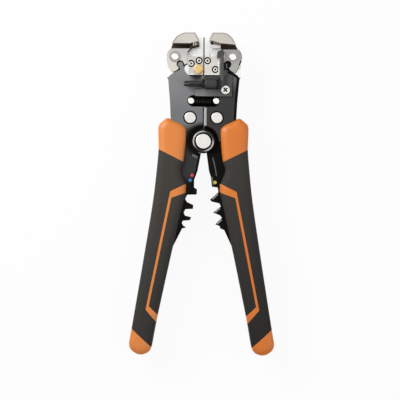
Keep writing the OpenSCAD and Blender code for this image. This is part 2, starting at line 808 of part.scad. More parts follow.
// A rivet through plates, with a shoulder that spaces them between two heights on both sides
module lever_rivet(z0) {
    z1 = lever_z1 - rivet_recess;
    post(rivet_at, rivet_r, -lever_z1, z1);
    for (side = [0, 1]) mirror([0, 0, side]) post(rivet_at, rivet_r + rivet_shoulder, z0, lever_z0);
    button(rivet_at, rivet_head_r, z1, rivet_recess + head_h);
    mirror([0, 0, 1]) button(rivet_at, rivet_head_r, lever_z1, head_h);
}

module left_lever_rivet() {
    color("whitesmoke") at_pivot() flip(true) lever_rivet(0);
}

module left_crimp_die() {
    color("dimgray") at_pivot() slab(-lever_z0, lever_z0) difference() {
        polygon(tails(left_die_shares));
        clear_of_eye();
    }
}

module right_lever_core() {
    tail_path = tails(concat(right_core_shares, tang_shares));
    color("dimgray") at_pivot() {
        difference() {
            union() {
                slab(-frame_z1, frame_z1) difference() {
                    polygon(tail_path);
                    core_head_zone();
                }
                slab(-core_z, core_z) {
                    polygon(heads(core_head_shares));
                    polygon(tail_path);
                }
            }
            post([0, 0], eye_r + side_play, -lever_z1, lever_z1);
            post(rivet_at, rivet_r + seat_gap, -lever_z1, lever_z1);
        }
        slab(-core_z, 0) difference() {
            union() {
                circle(eye_r);
                intersection() {
                    circle(web_r);
                    polygon(concat([[0, 0]], heads(core_head_shares)));
                }
                intersection() {
                    circle(web_r);
                    polygon(tail_path);
                }
            }
            circle(pivot_r + run_gap);
        }
    }
}

// The part of the right core that lies between the frames, and so has to be thin
module core_head_zone() {
    translate([-head_w, -eye_r]) square([head_w * 2, wire_y]);
}

module right_head_plate_front() {
    color("dimgray") at_pivot() difference() {
        head_plate();
        post(rivet_at, rivet_head_r + rivet_rim, lever_z1 - rivet_recess, lever_z1 + cut);
        post(head(bracket_screw_share), bracket_shank_r + seat_gap, lever_z0 - cut, lever_z1 + cut);
    }
}

module right_head_plate_rear() {
    color("dimgray") at_pivot() slab(-lever_z1, -lever_z0) rear_plate_shape();
}

module right_lever_rivet() {
    color("whitesmoke") at_pivot() lever_rivet(core_z);
}

mark_h = 0.15;

// A round spot of paint on a surface at height z0
module size_mark(i, z0) {
    at = tails(mark_shares)[i];
    post(at, mark_r, z0, z0 + mark_h);
}

module red_size_mark() {
    color("red") at_pivot() size_mark(0, eye_z1);
}

module blue_size_mark() {
    color("royalblue") at_pivot() size_mark(1, eye_z1);
}

module yellow_size_mark() {
    color("yellow") at_pivot() size_mark(2, frame_z1);
}

// Grips

grip_steps = 4;

// The grip's rounded form, all surfaces drawn in by the same distance
module grip_form(inset) {
    for (i = [0:grip_steps]) {
        a = 90 * i / grip_steps;
        half_h = mid_z - inset - grip_round * (1 - sin(a));
        slab(-half_h, half_h) offset(delta = -inset - grip_round * (1 - cos(a))) polygon(tails(grip_shares));
    }
}

module grip_zones() {
    slab(-grip_t, grip_t) {
        polygon(tails(grip_top_shares));
        polygon(tails(grip_stripe_shares));
        polygon(tails(grip_cap_shares));
    }
}

// Space for the lever inside the grip
module right_pocket() {
    slab(-lever_z1, lever_z1) polygon(concat([[0, 0]], heads(head_plate_shares)));
    slab(-frame_z1, frame_z1) polygon(tails(concat(right_core_shares, tang_shares)));
    slab(-frame_z1, frame_z1) polygon(heads(core_head_shares));
}

// The same on the left, drawn on the right
module left_pocket() {
    slab(-lever_z1, lever_z1) polygon(concat([[0, 0]], heads(head_plate_shares)));
    mirror([1, 0, 0]) {
        slab(-lever_z1, lever_z1) left_tang_shape();
        slab(-lever_z0, lever_z0) polygon(tails(left_die_shares));
    }
}

// The hard inner shell, which comes to the surface in the orange zones
module grip_orange() {
    difference() {
        union() {
            grip_form(skin_t);
            intersection() {
                grip_form(0);
                grip_zones();
            }
        }
        children();
    }
}

// The soft black skin round the shell
module grip_black() {
    difference() {
        grip_form(0);
        grip_form(skin_t);
        grip_zones();
        children();
    }
}

module left_grip_orange() {
    color("orange") at_pivot() flip(true) grip_orange() left_pocket();
}

module left_grip_black() {
    color("darkslategray") at_pivot() flip(true) grip_black() left_pocket();
}

module right_grip_orange() {
    color("darkorange") at_pivot() grip_orange() right_pocket();
}

module right_grip_black() {
    color("darkslategray") at_pivot() grip_black() right_pocket();
}

// Adjustable length stop

bracket_screw_share = [0.289, 0.57];
bracket_shank_r = 1.2;
// Left, right, lower and upper edge of the bracket, its overhang over the left half and its knob's window
bracket_shares = [-0.028, 0.371, 0.499, 0.725];
overhang_shares = [-0.113, 0.575];
rod_y = 0.633 * wire_y;
arm_z0 = cap_z1 + layer_gap;
rod_z = arm_z0 + stop_arm_w / 2;
knob_x_shares = [0, 0.187];
knob_x0 = knob_x_shares[0] * head_w;
knob_x1 = knob_x_shares[1] * head_w;
ear_t = 1;
rod_end_r = 0.9;
rod_x0 = -0.265 * head_w;
arm_x_share = 0.217;
arm_x0 = arm_x_share * head_w;

// A round bar along X at the rod's axis
module along_x(r, x0, x1) {
    translate([x0, rod_y, rod_z]) rotate([0, 90, 0]) cylinder(h = x1 - x0, r = r);
}

module adjuster_bracket() {
    x0 = bracket_shares[0] * head_w;
    x1 = bracket_shares[1] * head_w;
    y0 = bracket_shares[2] * wire_y;
    y1 = bracket_shares[3] * wire_y;
    over_x = overhang_shares[0] * head_w;
    over_y = overhang_shares[1] * wire_y;
    window_h = knob_d + side_play * 2;
    z1 = lever_z1 + bracket_t;
    ear_h = rod_d + ear_t * 1.5;
    color("darkslategray") at_pivot() difference() {
        union() {
            translate([0, y0, lever_z1]) cube([x1, y1 - y0, bracket_t]);
            translate([x0, y0, lever_z1 + layer_gap]) cube([x1 - x0, y1 - y0, bracket_t - layer_gap]);
            translate([over_x, y0, lever_z1 + layer_gap]) cube([-over_x, over_y - y0, bracket_t - layer_gap]);
            for (x = [knob_x0 - layer_gap - ear_t, knob_x1 + layer_gap])
                translate([x, rod_y - ear_h / 2, lever_z1 + layer_gap])
                    cube([ear_t, ear_h, rod_z - lever_z1 - layer_gap + ear_h / 2]);
        }
        translate([knob_x0 - layer_gap, rod_y - window_h / 2, lever_z1 - cut])
            cube([knob_x1 - knob_x0 + layer_gap * 2, window_h, bracket_t + cut * 2]);
        along_x(rod_d / 2 + run_gap * 2, x0 - cut, arm_x0);
        post(head(bracket_screw_share), bracket_shank_r + seat_gap, lever_z0, z1 + cut);
    }
}

// Cross recess of the bracket screw
cross_l = 3.4;
cross_w = 0.9;
cross_depth = 0.5;
cross_turn = 40;

module bracket_screw() {
    at = head(bracket_screw_share);
    z1 = lever_z1 + bracket_t;
    color("whitesmoke") at_pivot() difference() {
        union() {
            post(at, bracket_shank_r, lever_z0, z1);
            button(at, bracket_screw_head_r, z1, head_h);
        }
        translate([at[0], at[1], z1 + head_h]) rotate(cross_turn) for (turn = [0, 90]) rotate(turn)
            cube([cross_l, cross_w, cross_depth * 2], center = true);
    }
}

module adjuster_knob() {
    chamfer = knob_d / 10;
    color("dimgray") at_pivot() difference() {
        union() {
            along_x(knob_d / 2 - chamfer, knob_x0, knob_x1);
            along_x(knob_d / 2, knob_x0 + chamfer, knob_x1 - chamfer);
        }
        along_x(rod_d / 2 + run_gap, knob_x0 - cut, knob_x1 + cut);
    }
}

// Slot in the rod's free end
rod_slot_l = 3.6;
rod_slot_w = 0.5;
// Depth of the rod's thread as a share of its pitch, and its crests' place between two roots
thread_share = 0.45;
crest_share = 0.5;

// The threaded length of the rod, with a ring groove at each turn of the thread
module threaded_bar(x0, x1) {
    turns = floor((x1 - x0) / rod_pitch);
    root_r = rod_d / 2 - rod_pitch * thread_share;
    crests = [for (i = [0:turns - 1]) each
        [[root_r, i * rod_pitch], [rod_d / 2, (i + crest_share) * rod_pitch]]];
    translate([x0, rod_y, rod_z]) rotate([0, 90, 0]) rotate_extrude()
        polygon(concat([[0, 0]], crests, [[root_r, turns * rod_pitch], [root_r, x1 - x0], [0, x1 - x0]]));
}

module adjuster_rod() {
    color("dimgray") at_pivot() difference() {
        union() {
            threaded_bar(rod_x0, knob_x1 + ear_t / 2);
            along_x(rod_end_r, knob_x1, arm_x0 + stop_arm_w + ear_t / 2);
        }
        translate([rod_x0 - cut, rod_y - rod_slot_w / 2, rod_z - rod_d])
            cube([rod_slot_l + cut, rod_slot_w, rod_d * 2]);
    }
}

// The arm with its hook at the top, and the tab that reaches down to the wire's end
arm_y_shares = [0.604, 0.992];
hook_shares = [[0.174, 0.982], [0.185, 0.99], [0.217, 1.003], [0.262, 0.998], [0.262, 0.922],
    [0.174, 0.922]];
tab_y_shares = [0.943, 0.963];
tab_t = 0.7;

module stop_arm() {
    arm_y0 = arm_y_shares[0] * wire_y;
    hook_x = hook_shares[0][0] * head_w;
    color("dimgray") at_pivot() difference() {
        union() {
            slab(arm_z0, arm_z0 + stop_arm_w) {
                translate([arm_x0, arm_y0]) square([stop_arm_w, arm_y_shares[1] * wire_y - arm_y0]);
                intersection() {
                    polygon(heads(hook_shares));
                    square([arm_x0 + stop_arm_w, wire_y * 2]);
                }
            }
            translate([hook_x, tab_y_shares[0] * wire_y, frame_z0 + side_play])
                cube([tab_t, (tab_y_shares[1] - tab_y_shares[0]) * wire_y, arm_z0 - frame_z0]);
        }
        along_x(rod_end_r + seat_gap, arm_x0 - cut, arm_x0 + stop_arm_w + cut);
    }
}

pivot_pin();
pivot_washer_front();
pivot_washer_rear();
return_spring();
frame_spring();
left_frame_front();
left_frame_rear();
left_lower_jaw();
left_clamp_plate();
left_clamp_screws();
brass_stud();
left_jaw_pin();
left_spring_post();
right_frame_front();
right_frame_rear();
right_lower_jaw();
right_clamp_plate();
right_clamp_screws();
right_jaw_pin();
right_spring_post();
lower_blade();
left_upper_jaw();
left_grip_insert();
right_upper_jaw();
right_guide_insert();
upper_blade();
left_lever_front();
left_lever_rear();
left_lever_rivet();
left_crimp_die();
left_grip_orange();
left_grip_black();
red_size_mark();
blue_size_mark();
right_lever_core();
right_head_plate_front();
right_head_plate_rear();
right_lever_rivet();
right_grip_orange();
right_grip_black();
yellow_size_mark();
adjuster_bracket();
bracket_screw();
adjuster_knob();
adjuster_rod();
stop_arm();
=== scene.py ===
"""Looks of the automatic wire stripper: finishes for its steel, brass and coated plates, moulded two-colour
grips, the tension spring, the threaded stop rod and its knob, with the light and camera of the front view."""
import json
import math

import bmesh
import bpy
import numpy as np
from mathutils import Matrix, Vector
from mathutils.geometry import delaunay_2d_cdt


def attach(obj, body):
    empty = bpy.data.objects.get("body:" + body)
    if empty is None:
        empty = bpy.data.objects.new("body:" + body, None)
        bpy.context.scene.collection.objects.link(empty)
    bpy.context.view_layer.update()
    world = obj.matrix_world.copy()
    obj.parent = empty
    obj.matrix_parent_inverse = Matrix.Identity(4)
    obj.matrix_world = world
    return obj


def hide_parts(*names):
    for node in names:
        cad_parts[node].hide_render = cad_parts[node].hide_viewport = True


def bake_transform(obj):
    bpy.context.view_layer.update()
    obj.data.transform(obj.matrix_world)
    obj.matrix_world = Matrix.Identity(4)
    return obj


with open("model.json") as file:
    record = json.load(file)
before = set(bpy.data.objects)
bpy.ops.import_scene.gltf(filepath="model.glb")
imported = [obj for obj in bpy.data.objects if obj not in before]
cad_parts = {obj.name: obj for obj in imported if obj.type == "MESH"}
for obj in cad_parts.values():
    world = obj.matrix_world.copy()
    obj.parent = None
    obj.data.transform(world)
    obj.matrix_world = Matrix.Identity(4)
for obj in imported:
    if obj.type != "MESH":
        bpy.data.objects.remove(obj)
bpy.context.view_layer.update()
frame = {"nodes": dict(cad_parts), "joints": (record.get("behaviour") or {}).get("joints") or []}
nodes = frame["nodes"]
scene = bpy.context.scene
MM = 0.001
PIVOT = Vector(next(j["pos_m"] for j in frame["joints"] if j["name"] == "left_grip"))


def at(x, y, z=0.0):
    """A place in millimetres from the main pivot, in the part's frame."""
    return PIVOT + Vector((x, y, z)) * MM


# ---- Camera: straight above the front, turned half a degree as in the photograph

PIXEL_MM = 0.635
FRAME_PIXELS = 400
SENSOR_MM = 36
CAMERA_HEIGHT = 0.95
SHARP_PLANE = 0.0165
VIEW_MIDDLE = (-1.77, -37.29)
VIEW_TURN = 0.0087
camera_data = bpy.data.cameras.new("front_camera")
camera = bpy.data.objects.new("front_camera", camera_data)
scene.collection.objects.link(camera)
camera_data.sensor_width = SENSOR_MM
camera_data.lens = SENSOR_MM * CAMERA_HEIGHT / (PIXEL_MM * MM * FRAME_PIXELS)
camera_data.clip_start = 0.01
camera_data.clip_end = 20
camera.location = at(*VIEW_MIDDLE)
camera.location.z = SHARP_PLANE + CAMERA_HEIGHT
camera.rotation_euler = (0, 0, VIEW_TURN)
scene.camera = camera
scene.view_settings.view_transform = "Standard"

# ---- Shader node groups, each built once and placed in the materials with its own values


def new_group(name, inputs, outputs):
    """An empty group with (socket type, name, value) inputs and (socket type, name) outputs."""
    group = bpy.data.node_groups.new(name, "ShaderNodeTree")
    for kind, label, value in inputs:
        socket = group.interface.new_socket(label, in_out="INPUT", socket_type="NodeSocket" + kind)
        socket.default_value = value
    for kind, label in outputs:
        group.interface.new_socket(label, in_out="OUTPUT", socket_type="NodeSocket" + kind)
    return group, group.nodes.new("NodeGroupInput"), group.nodes.new("NodeGroupOutput")


def place(tree, kind, links=(), **values):
    """A node of that kind, with its settings and (input, socket) links."""
    node = tree.nodes.new("ShaderNode" + kind)
    for key, value in values.items():
        if hasattr(node, key):
            setattr(node, key, value)
        else:
            node.inputs[key].default_value = value
    for target, source in links:
        tree.links.new(source, node.inputs[target])
    return node


def math_node(tree, operation, a, b=None):
    """The output of a Math node on numbers or sockets."""
    node = tree.nodes.new("ShaderNodeMath")
    node.operation = operation
    for i, value in enumerate((a, b)):
        if value is None:
            continue
        if isinstance(value, (int, float)):
            node.inputs[i].default_value = value
        else:
            tree.links.new(value, node.inputs[i])
    return node.outputs[0]


def object_coordinates(tree):
    """Places in metres in the object's own frame, which ride with it."""
    return tree.nodes.new("ShaderNodeTexCoord").outputs["Object"]


def noise(tree, vector, scale_socket=None, scale=100.0, detail=3.0):
    node = place(tree, "TexNoise", [("Vector", vector)], Scale=scale, Detail=detail)
    if scale_socket is not None:
        tree.links.new(scale_socket, node.inputs["Scale"])
    return node.outputs["Fac"]


def shade(tree, colour, factor):
    """colour times a grey factor."""
    combine = place(tree, "CombineColor", [("Red", factor), ("Green", factor), ("Blue", factor)])
    mix = tree.nodes.new("ShaderNodeMix")
    mix.data_type, mix.blend_type = "RGBA", "MULTIPLY"
    mix.inputs["Factor"].default_value = 1.0
    tree.links.new(colour, mix.inputs["A"])
    tree.links.new(combine.outputs[0], mix.inputs["B"])
    return mix.outputs["Result"]


def centred(tree, value, amount):
    """1 + (value - 0.5) x 2 x amount."""
    shifted = math_node(tree, "SUBTRACT", value, 0.5)
    doubled = math_node(tree, "MULTIPLY", shifted, 2.0)
    return math_node(tree, "ADD", math_node(tree, "MULTIPLY", doubled, amount), 1.0)


def finish_outputs(tree, put, out, fine, fine_share, cloud):
    """Varies the colour and the roughness by a fine and a cloudy pattern, and hands the fine one on as height."""
    both = math_node(tree, "ADD", math_node(tree, "MULTIPLY", fine, fine_share),
                     math_node(tree, "MULTIPLY", cloud, 1 - fine_share))
    varied = shade(tree, put.outputs["Colour"], centred(tree, both, put.outputs["Colour change"]))
    rough = math_node(tree, "MULTIPLY", put.outputs["Roughness"],
                      centred(tree, cloud, put.outputs["Roughness change"]))
    tree.links.new(varied, out.inputs["Colour"])
    tree.links.new(rough, out.inputs["Roughness"])
    tree.links.new(fine, out.inputs["Height"])


def mask_outputs(tree, put, out, amount, far_label):
    """Runs the colour into the far one by the amount, held between 0 and 1, and hands that on as a mask."""
    limited = tree.nodes.new("ShaderNodeClamp")
    tree.links.new(amount, limited.inputs[0])
    mix = tree.nodes.new("ShaderNodeMix")
    mix.data_type = "RGBA"
    tree.links.new(limited.outputs[0], mix.inputs["Factor"])
    tree.links.new(put.outputs["Colour"], mix.inputs["A"])
    tree.links.new(put.outputs[far_label], mix.inputs["B"])
    tree.links.new(mix.outputs["Result"], out.inputs["Colour"])
    tree.links.new(limited.outputs[0], out.inputs["Mask"])


def make_grain():
    """Fine grain over soft clouds: coated steel, moulded plastic and rubber."""
    tree, put, out = new_group("surface_grain",
        [("Color", "Colour", (0.5, 0.5, 0.5, 1)), ("Float", "Roughness", 0.5), ("Float", "Grain scale", 2500.0),
         ("Float", "Colour change", 0.06), ("Float", "Roughness change", 0.1), ("Float", "Cloud scale", 60.0)],
        [("Color", "Colour"), ("Float", "Roughness"), ("Float", "Height")])
    where = object_coordinates(tree)
    fine = noise(tree, where, put.outputs["Grain scale"], detail=2.0)
    cloud = noise(tree, where, put.outputs["Cloud scale"], detail=3.0)
    finish_outputs(tree, put, out, fine, 0.4, cloud)
    return tree


def make_brushing():
    """Fine lines of a ground or brushed metal, drawn out along one axis."""
    tree, put, out = new_group("brushed_lines",
        [("Color", "Colour", (0.7, 0.7, 0.7, 1)), ("Float", "Roughness", 0.3),
         ("Vector", "Stretch", (2500.0, 60.0, 600.0)), ("Float", "Colour change", 0.08),
         ("Float", "Roughness change", 0.2)],
        [("Color", "Colour"), ("Float", "Roughness"), ("Float", "Height")])
    where = object_coordinates(tree)
    drawn = place(tree, "VectorMath", [(0, where), (1, put.outputs["Stretch"])], operation="MULTIPLY").outputs[0]
    lines = noise(tree, drawn, scale=1.0, detail=4.0)
    cloud = noise(tree, where, scale=90.0, detail=3.0)
    finish_outputs(tree, put, out, lines, 0.6, cloud)
    return tree


def make_shade_ring():
    """Painted shade: a dark ring round a pin, screw or hollow, seen along the tool's thickness, that stands in for the
    shade in the recess or gap there.
    """
    tree, put, out = new_group("painted_shade_ring",
        [("Color", "Colour", (0.5, 0.5, 0.5, 1)), ("Color", "Oil", (0.01, 0.01, 0.01, 1)),
         ("Vector", "Centre", (0, 0, 0)), ("Float", "Radius", 0.005), ("Float", "Fade", 0.0004)],
        [("Color", "Colour"), ("Float", "Mask")])
    gap = place(tree, "VectorMath", [(0, object_coordinates(tree)), (1, put.outputs["Centre"])],
                operation="SUBTRACT").outputs[0]
    flat = place(tree, "VectorMath", [(0, gap)], operation="MULTIPLY")
    flat.inputs[1].default_value = (1, 1, 0)
    far = place(tree, "VectorMath", [(0, flat.outputs[0])], operation="LENGTH").outputs["Value"]
    inside = math_node(tree, "SUBTRACT", put.outputs["Radius"], far)
    mask_outputs(tree, put, out, math_node(tree, "DIVIDE", inside, put.outputs["Fade"]), "Oil")
    return tree


def make_blend_along():
    """One colour that runs into another between two places along a direction, such as painted shade that deepens down a
    plate.
    """
    tree, put, out = new_group("blend_along",
        [("Color", "Colour", (0.5, 0.5, 0.5, 1)), ("Color", "Far colour", (0.01, 0.01, 0.01, 1)),
         ("Vector", "Direction", (0, 1, 0)), ("Float", "From", 0.0), ("Float", "To", 0.01)],
        [("Color", "Colour"), ("Float", "Mask")])
    along = place(tree, "VectorMath", [(0, object_coordinates(tree)), (1, put.outputs["Direction"])],
                  operation="DOT_PRODUCT").outputs["Value"]
    done = math_node(tree, "SUBTRACT", along, put.outputs["From"])
    whole = math_node(tree, "SUBTRACT", put.outputs["To"], put.outputs["From"])
    mask_outputs(tree, put, out, math_node(tree, "DIVIDE", done, whole), "Far colour")
    return tree


GRAIN, BRUSHING, SHADE_RING, BLEND_ALONG = make_grain(), make_brushing(), make_shade_ring(), make_blend_along()

# ---- Materials


def material(name, colour, roughness, metallic=0.0, specular=0.5, coat=0.0, coat_roughness=0.1, bump=0.2,
             lift=0.00003, group=None, runs=(), oil=(), **inputs):
    """One finish. group is surface_grain or brushed_lines with its own inputs; runs lists colours of painted light and
    shade that it runs into as (far colour share, direction, start, end), and the rings of painted shade are listed as
    (centre, radius, fade, colour)."""
    mat = bpy.data.materials.new(name)
    mat.use_nodes = True
    tree = mat.node_tree
    shader = tree.nodes["Principled BSDF"]
    shader.inputs["Metallic"].default_value = metallic
    shader.inputs["Specular IOR Level"].default_value = specular
    shader.inputs["Coat Weight"].default_value = coat
    shader.inputs["Coat Roughness"].default_value = coat_roughness
    node = tree.nodes.new("ShaderNodeGroup")
    node.node_tree = group or GRAIN
    node.inputs["Roughness"].default_value = roughness
    for label, value in inputs.items():
        node.inputs[label.replace("_", " ").capitalize()].default_value = value
    node.inputs["Colour"].default_value = (*colour, 1)
    previous = None
    for far_colour, direction, start, end in runs:
        run = tree.nodes.new("ShaderNodeGroup")
        run.node_tree = BLEND_ALONG
        run.inputs["Colour"].default_value = (*colour, 1)
        if previous:
            tree.links.new(previous, run.inputs["Colour"])
        run.inputs["Far colour"].default_value = (*far_colour, 1)
        run.inputs["Direction"].default_value = direction
        run.inputs["From"].default_value = start
        run.inputs["To"].default_value = end
        previous = run.outputs["Colour"]
    if previous:
        tree.links.new(previous, node.inputs["Colour"])
    colour_out = node.outputs["Colour"]
    # Rings of painted shade, laid over the colour one after another
    for centre, radius, fade, shade_colour in oil:
        ring = tree.nodes.new("ShaderNodeGroup")
        ring.node_tree = SHADE_RING
        tree.links.new(colour_out, ring.inputs["Colour"])
        ring.inputs["Oil"].default_value = (*shade_colour, 1)
        ring.inputs["Centre"].default_value = centre
        ring.inputs["Radius"].default_value = radius
        ring.inputs["Fade"].default_value = fade
        colour_out = ring.outputs["Colour"]
    tree.links.new(colour_out, shader.inputs["Base Color"])
    tree.links.new(node.outputs["Roughness"], shader.inputs["Roughness"])
    height = tree.nodes.new("ShaderNodeBump")
    height.inputs["Strength"].default_value = bump
    height.inputs["Distance"].default_value = lift
    tree.links.new(node.outputs["Height"], height.inputs["Height"])
    tree.links.new(height.outputs["Normal"], shader.inputs["Normal"])
    return mat


def metal(name, colour, roughness, stretch, change, bump=0.05, **more):
    """A brushed or plated metal."""
    return material(name, colour, roughness, metallic=1.0, group=BRUSHING, bump=bump, Stretch=stretch,
                    Colour_change=change, **more)


def coated(name, colour, roughness, specular, grain, change=0.06, **more):
    """A coat, an oxide, a plastic, or the colour of a sheet of painted shade or painted highlight."""
    return material(name, colour, roughness, specular=specular, Grain_scale=grain, Colour_change=change, **more)


# Near-black of painted shade in recesses, gaps and clearings
SHADE_BLACK = (0.003, 0.0025, 0.002)
ACROSS, UP, OUTWARD = (1, 0, 0), (0, 1, 0), (0, 0, 1)
# Places in millimetres from the main pivot, as the CAD has them
RIVET_AT = (8.5204, 14.9864)
KNOB_AT = (14.8512, 48.6772)
JAW_PIN_AT = (18.2784, 53.5392)
STUD_AT = (-4.43, 45.69)
LEFT_SCREWS = ((-8.092, 49.306), (-3.094, 51.137))
RIGHT_SCREWS = ((2.237, 51.137), (7.235, 45.588))


def height(y):
    """A height in millimetres over the main pivot, as an object coordinate."""
    return PIVOT.y + y * MM


# Rings of painted shade in recesses, gaps and clearings, as (centre, radius, fade, colour)
# Painted shade in the clearing round the pivot
pivot_clearing_shade = (at(0, 0), 0.0103, 0.0006, SHADE_BLACK)
wide_pivot_clearing_shade = (at(-0.5, 0.5), 0.0125, 0.003, SHADE_BLACK)
# Painted shade in the rivets' recesses
rivet_recess_shade = [(at(side * RIVET_AT[0], RIVET_AT[1]), 0.0044, 0.0003, SHADE_BLACK) for side in (-1, 1)]
# Painted shade in the clamp screws' recesses and in their sockets
screw_recess_shade = [(at(*p), 0.00232, 0.00008, SHADE_BLACK) for p in LEFT_SCREWS + RIGHT_SCREWS]
screw_socket_shade = [(at(*p), 0.0009, 0.0004, (0.05, 0.02, 0.01)) for p in LEFT_SCREWS + RIGHT_SCREWS]
# Painted shade in the gaps round the knobs
knob_gap_shade = [(at(side * KNOB_AT[0], KNOB_AT[1]), 0.0031, 0.0002, SHADE_BLACK) for side in (-1, 1)]
pin_shade = [(at(side * JAW_PIN_AT[0], JAW_PIN_AT[1]), 0.0041, 0.0007, (0.36, 0.35, 0.345)) for side in (-1, 1)]
right_knob_shade = (knob_gap_shade[1][0], 0.0042, 0.0008, (0.012, 0.012, 0.012))
under_clamp_shade = (at(-4.4, 42.3), 0.0056, 0.0032, (0.03, 0.03, 0.03))
# Painted shade in the washer's hollow round the pin
washer_hollow_shade = (at(0, 0), 0.0059, 0.0002, (0.006, 0.006, 0.005))

# Coats and oxides
# Painted light and shade: the left plate is painted lighter than the right one, as the key lamp lights it, and both run
# darker down towards the pivot; the left one goes near-black lower down the lever
left_plate = coated("satin_coat_lit_left", (0.242, 0.244, 0.25), 0.45, 0.06, 3200.0, 0.07, Roughness_change=0.12,
    bump=0.12, oil=[wide_pivot_clearing_shade, rivet_recess_shade[0], under_clamp_shade],
    runs=[((0.182, 0.185, 0.192), UP, height(36), height(18)), ((0.038, 0.038, 0.04), UP, height(11), height(6.5)),
          ((0.007, 0.006, 0.006), UP, height(-22), height(-27))])
right_plate = coated("satin_coat_shaded_right", (0.13, 0.127, 0.132), 0.45, 0.06, 2400.0, 0.14, Roughness_change=0.12,
    bump=0.12, oil=[pivot_clearing_shade, rivet_recess_shade[1], right_knob_shade],
    runs=[((0.05, 0.049, 0.049), UP, height(38), height(31)), ((0.047, 0.046, 0.045), UP, height(30), height(14))])
rear_coat = coated("rear_satin_coat", (0.05, 0.05, 0.052), 0.45, 0.3, 3200.0)
# Painted light and shade on the bracket: its left end is as light as the lit left plate, and its parts that stand
# higher than 18.8 mm run near-black as in shade
BRACKET_SIDE_Z = (0.0188, 0.019)
bracket_coat = coated("bracket_coat", (0.215, 0.217, 0.222), 0.45, 0.08, 1700.0, 0.16, Cloud_scale=420.0,
    runs=[((0.105, 0.105, 0.108), ACROSS, PIVOT.x - 0.001, PIVOT.x + 0.009),
          ((0.02, 0.02, 0.02), OUTWARD, *BRACKET_SIDE_Z)])
die_black = coated("die_black_oxide", (0.009, 0.008, 0.007), 0.5, 0.04, 1800.0, 0.2)
core_black = coated("lever_black_oxide", (0.006, 0.0055, 0.0045), 0.5, 0.04, 1800.0, 0.2)
stop_black = coated("stop_black_oxide", (0.052, 0.051, 0.051), 0.4, 0.4, 1800.0, 0.15)
rod_black = coated("rod_black_oxide", (0.016, 0.016, 0.015), 0.34, 0.6, 1800.0, 0.2)
knob_black = coated("knob_black_oxide", (0.045, 0.044, 0.043), 0.42, 0.3, 2600.0, 0.15)
cradle_black = coated("cradle_black_oxide", (0.042, 0.041, 0.04), 0.42, 0.3, 2000.0, 0.2)
# The web in the groove under each cap is a real recessed part; its brown-black colour is painted shade, the shadow that
# the cap casts there
insert_shade_brown = coated("groove_shade_brown", (0.062, 0.042, 0.028), 0.6, 0.1, 1500.0, 0.25)
spring_wire = coated("spring_wire", (0.012, 0.01, 0.006), 0.35, 0.3, 2000.0, 0.2)

# Nickel, bright steel, plating and brass
# Painted light and shade on the jaws: the right jaw is painted darker than the left, both are darker just below the
# caps, and the left cheek is painted lighter lower down; the rings are painted shade round the pins
jaw_left = metal("left_jaw_nickel_lit", (0.6, 0.57, 0.52), 0.4, (900.0, 250.0, 900.0), 0.07, 0.08, Roughness_change=0.2,
    runs=[((0.5, 0.485, 0.465), (0.3, 1, 0), height(61), height(56)),
          ((0.66, 0.63, 0.57), (-0.2, -1, 0), -height(54), -height(47))], oil=[pin_shade[0]])
jaw_right = metal("right_jaw_nickel_shaded", (0.56, 0.53, 0.48), 0.4, (900.0, 250.0, 900.0), 0.07, 0.08, Roughness_change=0.2,
    runs=[((0.3, 0.3, 0.305), UP, height(61), height(57)), ((0.42, 0.41, 0.39), UP, height(54), height(48))],
    oil=[pin_shade[1]])
lower_jaw = metal("lower_jaw_nickel", (0.85, 0.84, 0.825), 0.4, (250.0, 900.0, 900.0), 0.06, 0.08)
# The right clamp plate is painted lighter than the left one, painted light; the rings are painted shade in the screw
# recesses
clamp_nickel = metal("clamp_nickel", (0.58, 0.555, 0.525), 0.36, (250.0, 1200.0, 900.0), 0.06, 0.06,
    runs=[((0.68, 0.65, 0.605), ACROSS, PIVOT.x, PIVOT.x + 0.001)], oil=screw_recess_shade)
# Painted shade on the front frames: near-black below 40.4 mm, under the edges of the clamps and plates, and in the
# clearing round the pivot and the gaps round the knobs
frame_bright = metal("frame_bright", (0.96, 0.955, 0.935), 0.36, (1500.0, 120.0, 900.0), 0.05, 0.08,
    runs=[(SHADE_BLACK, UP, height(41.0), height(40.4))], oil=[pivot_clearing_shade] + knob_gap_shade)
EVEN = (700.0, 700.0, 700.0)
# Heights of the bracket screw's cross recess floor, which is painted dark as shade
CROSS_FLOOR_Z = (0.01912, 0.01904)
plated = metal("bright_plating", (0.8, 0.78, 0.745), 0.3, EVEN, 0.12)
pin_plating = metal("pin_plating", (0.95, 0.93, 0.9), 0.3, EVEN, 0.05)
screw_plating = metal("screw_plating", (0.84, 0.815, 0.785), 0.3, EVEN, 0.05, oil=screw_socket_shade)
cross_plating = metal("cross_screw_plating", (0.82, 0.8, 0.76), 0.3, EVEN, 0.05,
    runs=[((0.05, 0.035, 0.02), OUTWARD, *CROSS_FLOOR_Z)])
blade = metal("blade_steel", (0.62, 0.62, 0.62), 0.3, (300.0, 1500.0, 900.0), 0.08)
# Painted shade on the washer: darker towards the upper right and the lower side, away from the key lamp, and near-black
# in its hollow
WASHER_MIDDLE = 0.7 * (PIVOT.x + PIVOT.y)
WASHER_LOW = 0.4 * PIVOT.x + 0.9 * PIVOT.y
washer_steel = metal("washer_steel", (0.43, 0.43, 0.425), 0.36, (900.0, 900.0, 900.0), 0.2, 0.08, oil=[washer_hollow_shade],
    runs=[((0.06, 0.06, 0.058), (0.7, 0.7, 0), WASHER_MIDDLE + 0.004, WASHER_MIDDLE + 0.0056),
          ((0.05, 0.048, 0.045), (-0.4, -0.9, 0), 0.0042 - WASHER_LOW, 0.0058 - WASHER_LOW)])
